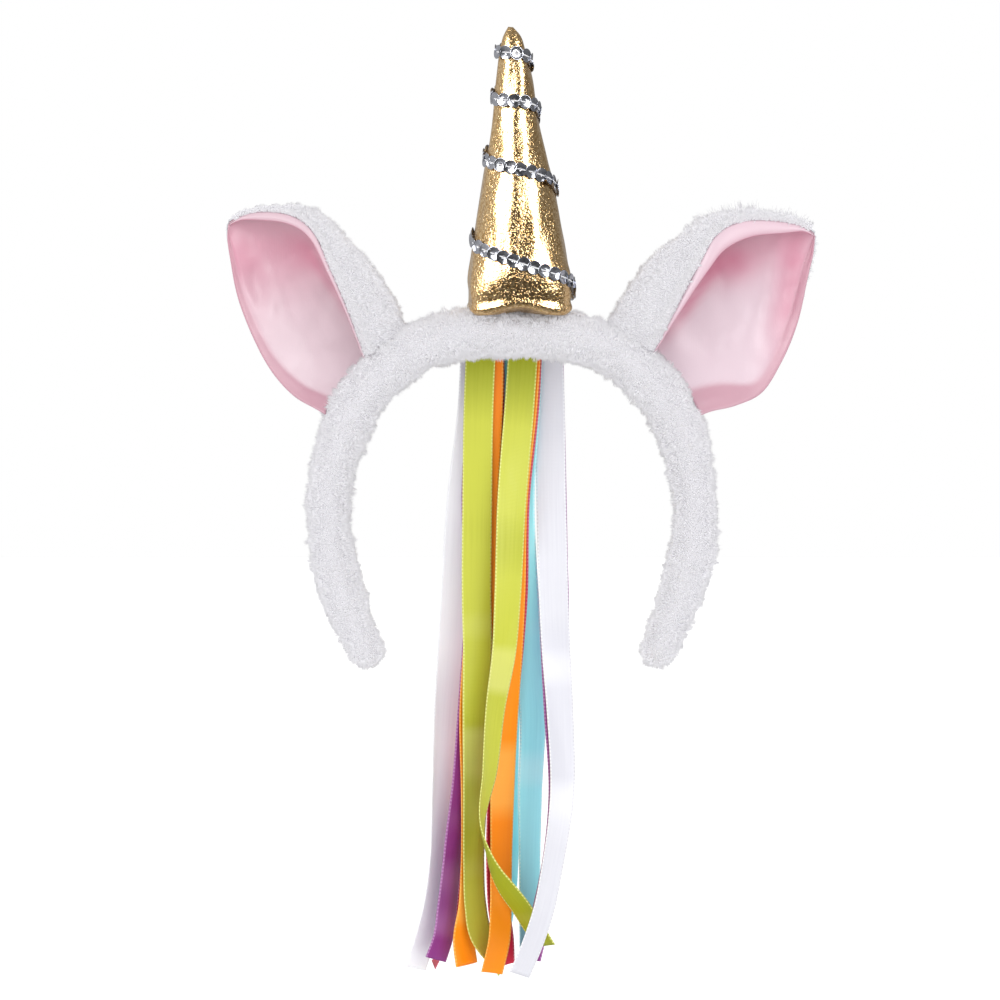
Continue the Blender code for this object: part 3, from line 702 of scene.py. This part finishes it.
def tufts(roots, normals, length, seed, spread=0.40, gather=0.16, tuft_mm=2.6):
    """The tips of hairs that stand on a surface and lean together in small tufts."""
    chance = np.random.default_rng(seed)
    lean = np.stack([waves(roots, 9.0, seed + k) for k in range(3)], -1) * 0.25
    lean += chance.normal(size=roots.shape) * spread * 0.6
    way = unit(normals + lean - normals * np.minimum((lean * normals).sum(-1), 0)[:, None])
    tips = roots + way * (length * chance.uniform(0.7, 1.15, len(roots)))[:, None]
    heads = chance.choice(len(roots), max(8, int(len(roots) / (4.0 * tuft_mm**2))), replace=False)
    tree = KDTree(len(heads))
    for k, head in enumerate(heads):
        tree.insert(roots[head], k)
    tree.balance()
    near = heads[[tree.find(root)[1] for root in roots]]
    goal = roots[near] + way[near] * (length[near] * 1.1)[:, None]
    tall = (chance.random(len(roots)) < 0.28)[near]
    goal = goal + way[near] * (tall * 1.3)[:, None]
    share = (gather + 0.45 * tall) * chance.uniform(0.3, 1.0, len(roots))
    return tips + (goal - tips) * share[:, None]


def hairs(name, roots, tips, width, material, seed):
    """One mesh of slim three-sided hairs."""
    chance = np.random.default_rng(seed)
    way = unit(tips - roots)
    side = unit(np.cross(way, chance.normal(size=way.shape)))
    other = np.cross(way, side)
    corners = [roots + (side * math.cos(t) + other * math.sin(t)) * width / 2 for t in (0, 2.1, 4.2)]
    points = np.stack((*corners, tips), 1).reshape(-1, 3)
    base = np.arange(len(roots))[:, None] * 4
    tris = np.concatenate([base + np.array(t) for t in ((0, 1, 3), (1, 2, 3), (2, 0, 3), (0, 2, 1))])
    mesh = new_mesh(name, points, tris)
    # Painted shade: each hair is darker at its root.
    set_values(mesh, "tip", np.tile((0.0, 0.0, 0.0, 1.0), len(roots)))
    pile = add_piece(name, mesh, material)
    pile.visible_shadow = pile.visible_diffuse = False


def build_band(plush, hair):
    sides = 64
    points, quads, normals = band_surface(2.0, sides)
    closed, ends = caps(points, len(points) // sides, sides)
    mesh = new_mesh("plush_band_padding", closed, quads, ends)
    set_values(mesh, "tip", np.full(len(closed), 0.8))
    band = add_piece("plush_band_padding", mesh, plush, ["plush_band"])
    chance = np.random.default_rng(11)
    roots, ways = scatter(points, quads, normals, BAND_HAIRS, chance)
    length = 2.6 + 0.55 * waves(roots, 4.5, 5) + 0.45 * waves(roots, 12.0, 6)
    tips = tufts(roots, ways, np.clip(length, 1.6, 4.6), 21)
    under = (np.abs(roots[:, 0]) < 22) & (roots[:, 2] < 16) & (roots[:, 1] > 8)
    tips[under, 1] = np.minimum(tips[under, 1], 13.9)
    for name, some in (("left", roots[:, 0] < 0), ("right", roots[:, 0] >= 0)):
        hairs(f"plush_band_pile_{name}", roots[some], tips[some], BAND_HAIR_WIDTH, hair, 31)


def horn_surface(clear=0.0, turns=None, heights=None):
    section = table_at(HORN_SECTIONS, "height", np.maximum(heights, 5.5))
    square = section.square * 1.1 * np.exp(-np.maximum(heights - 9, 0) / 16)
    corner = (1 - square * np.cos(4 * turns)) / (1 - square)
    x = section.lean + (section.half_width * corner + clear) * np.cos(turns)
    y = (section.half_depth * corner + clear) * np.sin(turns)
    return np.stack((x, y, HORN_FOOT_Z + heights), -1)


def build_horn(material):
    """The stuffed cone. Its foot is pulled up between the four corners, and its skin is puckered."""
    rows, columns = 220, 160
    share = np.linspace(0, 1, rows)
    turn = np.linspace(0, 2 * math.pi, columns, endpoint=False)
    foot = 3.0 * (0.5 + 0.5 * np.cos(4 * turn)) - 0.6
    top = HORN_SECTIONS[-1].height
    heights = foot[None, :] * (1 - share[:, None]) ** 2 + top * (share[:, None] ** 0.97)
    turns = np.broadcast_to(turn, heights.shape)
    points = horn_surface(0, turns.ravel(), heights.ravel())
    quads = grid_quads(rows, columns, closed=True)
    normals = corner_normals(points, quads)
    if np.mean((points * normals * (1, 1, 0)).sum(-1)) < 0:
        normals, quads = -normals, quads[:, ::-1]
    tall = points * (1, 1, 0.3)
    pucker = waves(tall, 7.0, 41) * 0.16 + waves(tall, 16.0, 42) * 0.28
    above = (heights - foot[None, :]).ravel()
    between = np.broadcast_to(0.5 + 0.5 * np.cos(4 * turn), heights.shape).ravel()
    seam = 1.2 * np.exp(-((above / 0.7) ** 2))
    roll = 0.5 * np.exp(-(((above - 2.2) / 1.3) ** 2))
    hollow = 0.5 * np.exp(-(((above - 6.5) / 3.5) ** 2)) * between
    tuck = seam - roll + hollow
    points = points + normals * (pucker - tuck)[:, None]
    closed, ends = caps(points, rows, columns)
    mesh = new_mesh("horn_foil", closed, quads, ends)
    horn = add_piece("horn_foil", mesh, material, ["horn"])


def string_frames(pitch, clear):
    """Places on the sequin string, the way that it runs and the way out from the horn."""
    turns = np.linspace(WINDINGS[0].turn, WINDINGS[-1].turn, 1500)
    height = table_at(WINDINGS, "turn", turns).height
    line = horn_surface(clear, 2 * math.pi * (turns - 0.5), height)
    run = np.concatenate(([0], np.cumsum(np.linalg.norm(np.diff(line, axis=0), axis=1))))
    at = np.linspace(0, run[-1], int(run[-1] / pitch) + 1)
    places = np.stack([np.interp(at, run, line[:, k]) for k in range(3)], -1)
    ahead = unit(np.gradient(places, axis=0))
    lean = table_at(HORN_SECTIONS, "height", places[:, 2] - HORN_FOOT_Z).lean
    outward = places - np.stack((lean, 0 * lean, places[:, 2]), -1)
    outward -= ahead * (outward * ahead).sum(-1, keepdims=True)
    return places, ahead, unit(outward)


def tube(places, ahead, outward, radius, plies, sides=7):
    """A round thread through places. Plies is how far its twisted strands stand out."""
    side = np.cross(ahead, outward)
    turn = np.linspace(0, 2 * math.pi, sides, endpoint=False)
    run = np.concatenate(([0], np.cumsum(np.linalg.norm(np.diff(places, axis=0), axis=1))))
    reach = radius * (1 + plies * np.cos(2 * turn[None, :] + run[:, None] * 2.4))
    up, over = np.cos(turn)[None, :, None], np.sin(turn)[None, :, None]
    ring = outward[:, None] * up + side[:, None] * over
    points = (places[:, None] + ring * reach[:, :, None]).reshape(-1, 3)
    points, ends = caps(points, len(places), sides)
    return points, grid_quads(len(places), sides, closed=True), ends


def build_sequins(material, thread):
    """Shallow cups that lie on each other like shingles, and the thread through them."""
    places, ahead, outward = string_frames(SEQUIN_PITCH, 0.85)
    chance = np.random.default_rng(51)
    reach = np.array((0.45, 0.9, 1.5, 2.1, 2.6, 2.82, 2.82, 2.55, 2.05, 1.45, 0.9, 0.45))
    rise = np.array((0, 0, 0.08, 0.2, 0.36, 0.44, 0.34, 0.24, 0.09, -0.04, -0.12, -0.14)) + 0.1
    sides = SEQUIN_SIDES
    turn = np.linspace(0, 2 * math.pi, sides, endpoint=False)
    cups, faces = [], []
    quads = grid_quads(len(reach), sides, closed=True)
    inner = grid_quads(2, sides, closed=True)
    inner = np.where(inner >= sides, inner - sides, inner + sides * (len(reach) - 1))
    quads = np.concatenate((quads, inner))
    for k in range(len(places)):
        tilt = math.radians(SEQUIN_TILT_DEG) + chance.normal() * 0.06
        sway = chance.normal() * 0.10
        face = unit(outward[k] * math.cos(tilt) + ahead[k] * math.sin(tilt))
        face = unit(face + np.cross(ahead[k], outward[k]) * sway)
        side = unit(np.cross(face, ahead[k]))
        edge = np.cross(side, face)
        ring = edge * np.cos(turn)[:, None] + side * np.sin(turn)[:, None]
        cup = places[k] + ring[None] * reach[:, None, None] + face * rise[:, None, None]
        faces.append(quads + len(cups) * len(reach) * sides)
        cups.append(cup.reshape(-1, 3))
    mesh = new_mesh("sequin_cups", np.concatenate(cups), np.concatenate(faces))
    add_piece("sequin_cups", mesh, material, ["sequin_string"])
    fine = string_frames(0.8, 1.05)
    mesh = new_mesh("sequin_thread", *tube(*fine, THREAD_RADIUS, plies=0.18))
    add_piece("sequin_thread", mesh, thread)


def ear_rows(place, count):
    """An ear's rows at even steps from inside the band to the tip, as points and sizes."""
    rise = math.radians(place.rise_deg)
    along = np.array((place.side * math.cos(rise), 0, math.sin(rise)))
    across = np.array((place.side * math.sin(rise), 0, -math.cos(rise)))
    root = np.array((place.side * place.root_x, 0, place.root_z))
    Keyed = namedtuple("Keyed", ("key", *EarRow._fields))
    keyed = [Keyed(i / (len(place.rows) - 1), *row) for i, row in enumerate(place.rows)]
    row = table_at(keyed, "key", np.linspace(0, 1, count))
    upper = root + np.outer(row.upper_along, along) + np.outer(row.upper_across, across)
    upper = upper + np.outer(row.upper_forward, FRONT)
    lower = root + np.outer(row.lower_along, along) + np.outer(row.lower_across, across)
    lower = lower + np.outer(row.lower_forward, FRONT)
    blunt = np.sqrt(1 - 0.97 * np.clip((np.linspace(0, 1, count) - 0.93) / 0.07, 0, 1) ** 2)
    middle = (upper + lower) / 2
    upper = middle + (upper - middle) * blunt[:, None]
    lower = middle + (lower - middle) * blunt[:, None]
    return upper, lower, row._replace(overhang=row.overhang * blunt, depth=row.depth * blunt)


def ear_cup(upper, lower, row, share):
    """The cup's inner surface between its rims: it bulges past the upper rim and sags back."""
    chord = lower - upper
    inward = unit(chord)
    reach = row.overhang + 0.2 * np.linalg.norm(chord, axis=1)
    bulge = share * (1 - share) ** 3 / (0.2 * 0.8**3)
    sag = np.sin(math.pi * share**0.8)
    cup = upper[:, None] + chord[:, None] * share[None, :, None]
    cup = cup - inward[:, None] * (reach[:, None] * bulge)[:, :, None]
    return cup - FRONT * (row.depth[:, None] * sag)[:, :, None]


def ear_roll(upper, lower, cup_start, width, strip, curl):
    """The rim rolled inwards over the cup, and its turn back under to where the cup starts."""
    inward = unit(lower - upper)[:, None]
    rise = np.minimum(1.5, 0.45 * width)[:, None, None]
    wide = width[:, None, None]
    s = np.linspace(0, 1, strip)[None, :, None]
    over = upper[:, None] + inward * wide * s + FRONT * rise * np.sin(s * math.pi * 0.7)
    edge = over[:, -1:]
    under = edge + inward * 1.0 - FRONT * 1.4
    back = edge - inward * 2.0 - FRONT * 3.4
    s = np.linspace(0, 1, curl + 2)[None, 1:-1, None]
    start, end = (1 - s) ** 3 * edge, s**3 * cup_start[:, None]
    turn = start + 3 * s * (1 - s) ** 2 * under + 3 * s * s * (1 - s) * back + end
    return np.concatenate((over, turn), 1)


def trim_to_band(sheet, stations):
    """The part of an ear's sheet that stands clear of the band, in so many even stations."""
    at = np.linspace(0, 1, len(sheet))
    inside = band_depth(sheet.reshape(-1, 3)).reshape(sheet.shape[:2]) < 0.98
    trimmed = np.zeros((stations, sheet.shape[1], 3))
    for j in range(sheet.shape[1]):
        start = at[np.max(np.nonzero(inside[:, j])[0], initial=0)]
        goal = start + (1 - start) * np.linspace(0, 1, stations)
        for k in range(3):
            trimmed[:, j, k] = np.interp(goal, at, sheet[:, j, k])
    return trimmed


def grid_normals(grid):
    """The way out of the ear's back at each point of its sheet."""
    normals = unit(np.cross(np.gradient(grid, axis=0), np.gradient(grid, axis=1)))
    middle = normals[len(grid) // 2, len(grid[0]) * 2 // 3]
    return normals * np.sign(middle @ -FRONT)


def shell(front, back):
    """A closed body between two grids of the same size."""
    rows, columns = front.shape[:2]
    points = np.concatenate((front.reshape(-1, 3), back.reshape(-1, 3)))
    quads = grid_quads(rows, columns)
    border = np.concatenate(
        (
            np.arange(columns - 1),
            np.arange(rows - 1) * columns + columns - 1,
            (rows - 1) * columns + np.arange(columns - 1, 0, -1),
            np.arange(rows - 1, 0, -1) * columns,
        )
    )
    after = np.roll(border, -1)
    shift = rows * columns
    rim = np.stack((after, border, border + shift, after + shift), -1)
    return points, np.concatenate((quads, quads[:, ::-1] + shift, rim))


def folds(name, points):
    """Soft creases of the lining, which run from the rolled rim down the face."""
    total = np.zeros(points.shape[:-1])
    for crease in CREASES[name]:
        past = crease.x + math.copysign(4.0, crease.x)
        line = patch(points, crease._replace(size=1.0))
        after = patch(points, crease._replace(x=past, half_width=3.2, size=1.0))
        total = total - line * crease.size + after * crease.size * 0.5
    return total


def patch(points, shade):
    """How much of a shade falls on each point."""
    turn = math.radians(shade.turn_deg)
    right, up = points[..., 0] - shade.x, points[..., 2] - shade.z
    along = (right * math.cos(turn) + up * math.sin(turn)) / shade.half_length
    across = (up * math.cos(turn) - right * math.sin(turn)) / shade.half_width
    return shade.size * np.exp(-(along**2 + across**2))


def build_lining(name, place, pink, seed):
    """The satin lining: a rolled rim, a cup, and a seam that is turned back along the lower rim."""
    stations, strip, curl = 64, 10, 8
    upper, lower, row = ear_rows(place, stations * 3)
    far = np.linspace(0, 1, stations * 3)
    look = EAR_LOOKS[name]
    width = table_at(look.roll, "far", far).size
    share = np.linspace(0.05, 1, 44)
    cup = ear_cup(upper, lower, row, share)
    sheet = np.concatenate((ear_roll(upper, lower, cup[:, 0], width, strip, curl), cup), 1)
    grid = trim_to_band(sheet, stations)
    normals = grid_normals(grid)
    free = smooth_step(0.05, 0.3, share) * (1 - 0.7 * smooth_step(0.85, 0.97, share))
    flat = np.concatenate((np.zeros(strip + curl), free))[None, :, None]
    wrinkle = waves(grid, 26, seed) * 0.6 + waves(grid, 11, seed + 1) * 0.16
    wrinkle = np.minimum(wrinkle, 0.6) + folds(name, grid)
    front = grid + normals * wrinkle[:, :, None] * flat
    far = np.linspace(0, 1, stations)
    start = table_at(look.seam, "far", far).size[:, None]
    seam = np.exp(-(((share[None, :] - start) / 0.02) ** 2)) * 0.35
    crease = np.concatenate((np.zeros((stations, strip + curl)), seam), 1)
    front = front + normals * crease[:, :, None]
    points, quads = shell(front, front + normals * LINING_WALL)
    mesh = new_mesh(f"{name}_ear_satin", points, quads)
    # Painted shade: deeper pink in the shaded patches, towards the edge where the rim turns under, where
    # it curls under, and on the hidden back face.
    tuck = np.zeros((stations, strip + curl + len(share)))
    tuck += sum(patch(grid, shade) for shade in look.shades)
    tuck[:, :strip] *= 0.25
    edge = smooth_step(0.6, 1, np.linspace(0, 1, strip + 1))
    tuck[:, : strip + 1] += 0.02 + edge[None, :] * 0.25
    tuck[:, strip : strip + curl] += 0.5
    tuck = np.clip(tuck, 0, 1).ravel()
    set_values(mesh, "tuck", np.concatenate((tuck, tuck * 0 + 0.3)))
    # Painted shade past the seam along the lower rim.
    turned = np.zeros((stations, strip + curl + len(share)))
    turned[:, strip + curl :] = 0.8 * smooth_step(start - 0.03, start + 0.02, share[None, :])
    set_values(mesh, "turned", np.concatenate((turned.ravel(), turned.ravel() * 0)))
    lining = add_piece(f"{name}_ear_satin", mesh, pink, [f"{name}_ear_lining"])
    area = sum(p.area for p in mesh.polygons) / 2
    flat = (0.072, round(area / 0.072 * 1.15, 3))


def build_ear_back(name, place, plush, hair, seed):
    """The padded plush back of an ear, and its pile."""
    stations, steps = 60, 50
    upper, lower, row = ear_rows(place, stations * 3)
    share = np.linspace(0, 0.955, steps)
    grid = trim_to_band(ear_cup(upper, lower, row, share), stations)
    normals = grid_normals(grid)
    far = np.linspace(0, 1, stations)[:, None]
    full = np.clip(6 * share * (0.965 - share), 0, 1)[None, :] * np.minimum(1, 2.0 * (1 - far))
    root = np.exp(-(((far - 0.05) / 0.28) ** 2)) * np.exp(-(((share - 0.2) / 0.22) ** 2))[None, :]
    pile = 0.4 + 2.7 * full + 4.2 * root + waves(grid, 12, seed) * 0.35 * full
    near = (smooth_step(0.03, 0.2, share) * (1 - 0.7 * smooth_step(0.85, 0.955, share)))[None, :, None]
    inside = grid + normals * (0.68 + 0.72 * near)
    outside = inside + normals * pile[:, :, None]
    points, quads = shell(inside, outside)
    mesh = new_mesh(f"{name}_ear_padding", points, quads)
    set_values(mesh, "tip", np.full(len(points), 0.8))
    padding = add_piece(f"{name}_ear_padding", mesh, plush, [f"{name}_ear_plush"])
    chance = np.random.default_rng(seed + 3)
    keep = int(steps * (0.93 if name == "left" else 0.97))
    outer = outside[:-1, :keep].reshape(-1, 3)
    ways = normals[:-1, :keep].reshape(-1, 3)
    roots, ways = scatter(outer, grid_quads(stations - 1, keep), ways, EAR_HAIRS, chance)
    ahead = FRONT * 0.3
    half_way = (grid[:, 0] + outside[:, 0]) / 2
    rim = (grid[:, 0] + ahead, half_way + ahead, outside[:, 0], outside[:, 1])
    strip = np.stack(rim, 1)[: stations - 1]
    away = unit(unit(upper - lower).mean(0) * 0.8 + FRONT + np.zeros_like(strip)).reshape(-1, 3)
    quads = grid_quads(len(strip), 4)
    near, fronts = scatter(strip.reshape(-1, 3), quads, away, RIM_HAIRS, chance)
    fronts = unit(fronts + chance.normal(size=fronts.shape) * 0.42)
    if name == "right":
        edge = outside[int(0.6 * stations) : -1, -4:-1]
        away = unit(unit(lower - upper).mean(0) - FRONT * 0.5 + np.zeros_like(edge)).reshape(-1, 3)
        quads = grid_quads(len(edge), 3)
        fuzz, outs = scatter(edge.reshape(-1, 3), quads, away, FUZZ_HAIRS, chance)
        near, fronts = np.concatenate((near, fuzz)), np.concatenate((fronts, outs))
    length = np.clip(2.6 + 0.5 * waves(roots, 5.0, seed + 4), 1.4, 4.0)
    length = np.concatenate((length, chance.uniform(1.2, 2.2, len(near))))
    roots, ways = np.concatenate((roots, near)), np.concatenate((ways, fronts))
    if name == "right":
        high = smooth_step(50, 54, roots[:, 2]) * (chance.random(len(roots)) < 0.12)
        length = length * (1 + high)
    else:
        length = length * (1 - 0.6 * smooth_step(84, 92, -roots[:, 0]) * (roots[:, 2] > 48))
    tips = tufts(roots, ways, length, seed + 5)
    hairs(f"{name}_ear_pile", roots, tips, EAR_HAIR_WIDTH, hair, seed + 6)


def ribbon_strip(hangs, seed):
    """A ribbon's surface as rings: its centreline, turned and gently cupped."""
    rows, columns = 170, 15
    height = np.linspace(hangs[0].height, hangs[-1].height, rows)
    row = table_at(hangs, "height", height)
    place = np.stack((row.side, row.back, height), -1)
    ahead = unit(np.gradient(place, axis=0))
    level = unit(np.cross(FRONT, ahead))
    turn = np.radians(row.turn_deg)[:, None]
    wide = level * np.cos(turn) + np.cross(level, ahead) * np.sin(turn)
    thick = np.cross(ahead, wide)
    run = np.concatenate(([0], np.cumsum(np.linalg.norm(np.diff(place, axis=0), axis=1))))
    chance = np.random.default_rng(seed)
    low = smooth_step(60, 160, run)
    cup = 0.35 * np.sin(run / 47 + chance.uniform(0, 6)) * (0.4 + low)
    across = np.linspace(-1, 1, columns) * RIBBON_HALF
    skew = 0.12 * np.sin(run / 23 + chance.uniform(0, 6)) * low
    share = (across / RIBBON_HALF)[None, :]
    bend = cup[:, None] * (1 - 2 * share**2) + skew[:, None] * share
    middle = place[:, None] + wide[:, None] * across[None, :, None] + thick[:, None] * bend[:, :, None]
    wall = RIBBON_HALF_WALL + 0.06 * (np.abs(across) > RIBBON_HALF - 0.6)
    return middle, thick, wall, across, run


def build_ribbon(name, hangs, material, seed):
    middle, thick, wall, across, run = ribbon_strip(hangs, seed)
    under = middle - thick[:, None] * wall[None, :, None]
    over = middle + thick[:, None] * wall[None, :, None]
    points, quads = shell(under, over)
    mesh = new_mesh(f"{name}_satin", points, quads)
    rows = len(run)
    set_flat(mesh, np.tile(across, rows * 2), np.tile(np.repeat(run, len(across)), 2))
    # Painted shade: darker near the top, where the band shades the ribbon, and in soft bands along its
    # length.
    shade = 1 - smooth_step(10, 45, run)
    line = np.stack((run, 0 * run, 0 * run), -1)
    painted_shade = np.clip(0.75 * shade + 0.24 * waves(line, 60, seed), 0, 1)
    painted_shade = np.repeat(painted_shade, len(across))
    # Each face gets extra painted shadow; the underside gets some unless listed.
    sides = (painted_shade + BACK_PAINTED_SHADE.get(name, 0.15), painted_shade + FRONT_PAINTED_SHADE.get(name, 0))
    set_values(mesh, "painted_shade", np.clip(np.concatenate(sides), 0, 1))
    # Painted highlight bands across the lower part of the ribbon, where the satin would catch light.
    painted_gleam = np.clip(1.3 * waves(line, 34, seed + 40) - 0.55, 0, 1) * smooth_step(50, 170, run)
    set_values(mesh, "painted_gleam", np.tile(np.repeat(painted_gleam, len(across)), 2))
    piece = add_piece(f"{name}_satin", mesh, material, [name])


def build_stitches(thread):
    """The short stitches that hold each ribbon's top to the band."""
    points, faces = [], []
    bar = np.array([(x, y, z) for x in (-0.9, 0.9) for y in (-0.16, 0.16) for z in (-0.14, 0.14)])
    sides = (0, 1, 3, 2), (4, 6, 7, 5), (0, 4, 5, 1), (2, 3, 7, 6), (0, 2, 6, 4), (1, 5, 7, 3)
    for hangs in RIBBONS.values():
        middle, thick, _, _, run = ribbon_strip(hangs, 1)
        for down in STITCH_DROPS:
            i = int(np.searchsorted(run, down))
            wide = unit(middle[i, -1] - middle[i, 0])
            turned = np.stack((wide, np.cross(wide, thick[i]), thick[i]))
            for along in STITCH_PLACES:
                place = middle[i].mean(0) + wide * along - thick[i] * 0.26
                faces.append(np.array(sides) + 8 * len(points))
                points.append(place + bar @ turned)
    mesh = new_mesh("ribbon_stitches", np.concatenate(points), np.concatenate(faces))
    add_piece("ribbon_stitches", mesh, thread)


def build_camera():
    data = bpy.data.cameras.new("camera")
    data.lens = CAMERA_LENS
    data.clip_end = 50
    camera = bpy.data.objects.new("camera", data)
    camera.location = CAMERA_PLACE
    camera.rotation_euler = (math.radians(90), 0, 0)
    bpy.context.scene.collection.objects.link(camera)
    bpy.context.scene.camera = camera


def add_sun(name, azimuth_deg, elevation_deg, strength, angle_deg, glint=False):
    """Soft light from a direction. Azimuth 0 is the front and 90 the right."""
    data = bpy.data.lights.new(name, "SUN")
    data.energy = strength
    data.angle = math.radians(angle_deg)
    sun = bpy.data.objects.new(name, data)
    azimuth, elevation = math.radians(azimuth_deg), math.radians(elevation_deg)
    level = math.cos(elevation)
    source = (math.sin(azimuth) * level, -math.cos(azimuth) * level, math.sin(elevation))
    sun.rotation_euler = Vector(source).to_track_quat("Z", "Y").to_euler()
    sun.visible_diffuse, sun.visible_glossy = not glint, glint
    bpy.context.scene.collection.objects.link(sun)


def build_world():
    """White to the camera. Other rays see it dark behind the camera and bright ahead of it."""
    world = bpy.data.worlds.new("surround")
    bpy.context.scene.world = world
    world.use_nodes = True
    tree = world.node_tree
    background = tree.nodes["Background"]
    rays = tree.nodes.new("ShaderNodeLightPath").outputs
    parts = tree.nodes.new("ShaderNodeSeparateXYZ")
    tree.links.new(tree.nodes.new("ShaderNodeTexCoord").outputs["Generated"], parts.inputs[0])

    def ramp(axis, *limits):
        node = tree.nodes.new("ShaderNodeMapRange")
        tree.links.new(parts.outputs[axis], node.inputs[0])
        for k, limit in enumerate(limits):
            node.inputs[k + 1].default_value = limit
        return node.outputs[0]

    glossy = tree.nodes.new("ShaderNodeMath")
    glossy.operation = "MULTIPLY"
    tree.links.new(ramp("Y", -1.0, -0.1, 0.12, 0.72), glossy.inputs[0])
    tree.links.new(ramp("X", -1.0, 1.0, 0.85, 0.30), glossy.inputs[1])
    strength, fill = glossy.outputs[0], ramp("Y", -1.0, 1.0, 0.82, 1.40)
    for kind in ("Is Diffuse Ray", "Is Camera Ray"):
        choose = tree.nodes.new("ShaderNodeMix")
        choose.data_type = "FLOAT"
        tree.links.new(rays[kind], choose.inputs[0])
        tree.links.new(strength, choose.inputs[2])
        choose.inputs[3].default_value = 1.0
        if kind == "Is Diffuse Ray":
            tree.links.new(fill, choose.inputs[3])
        strength = choose.outputs[0]
    tree.links.new(strength, background.inputs["Strength"])
    background.inputs["Color"].default_value = (1, 1, 1, 1)


def build_studio():
    """A pale floor, three soft lights, two that only shiny things show, and the surround."""
    add_sun("key_left", -42, 22, 0.7, 60)
    add_sun("key_right", 42, 22, 0.6, 60)
    add_sun("top", 10, 75, 0.45, 90)
    add_sun("glint_left", -43, 22, 2.8, 33, glint=True)
    add_sun("glint_right", 37, 22, 2.8, 31, glint=True)
    build_world()
    mesh = bpy.data.meshes.new("floor")
    corners = [(x * FLOOR_HALF, y * FLOOR_HALF, FLOOR_Z) for x, y in ((-1, -1), (1, -1), (1, 1), (-1, 1))]
    mesh.from_pydata(corners, [], [(0, 1, 2, 3)])
    floor = bpy.data.objects.new("floor", mesh)
    bpy.context.scene.collection.objects.link(floor)
    n = Nodes("floor")
    n.set(Base_Color=(0.95, 0.95, 0.95, 1), Roughness=0.9)
    mesh.materials.append(n.material)
    floor.visible_glossy = False
    bpy.context.scene.view_settings.view_transform = "Standard"


def main():
    build_camera()
    build_studio()
    # The ground under the pile is greyer than the hairs as painted shade, for the hairs cast no shadow.
    plush = plush_material("plush ground", (0.53, 0.525, 0.555), (0.60, 0.59, 0.62))
    hair = plush_material("plush pile", (0.74, 0.732, 0.765), (0.82, 0.808, 0.84))
    build_band(plush, hair)
    build_horn(gold_material())
    thread = thread_material()
    build_sequins(sequin_material(), thread)
    for k, (name, place) in enumerate(EARS.items()):
        build_lining(name, place, pink_material(name, EAR_LOOKS[name].colour), 61 + 20 * k)
        build_ear_back(name, place, plush, hair, 71 + 20 * k)
    satins = {colour: ribbon_material(colour, satin) for colour, satin in SATINS.items()}
    for k, (name, hangs) in enumerate(RIBBONS.items()):
        build_ribbon(name, hangs, satins[name.split("_")[0]], 101 + k)
    build_stitches(thread)


main()
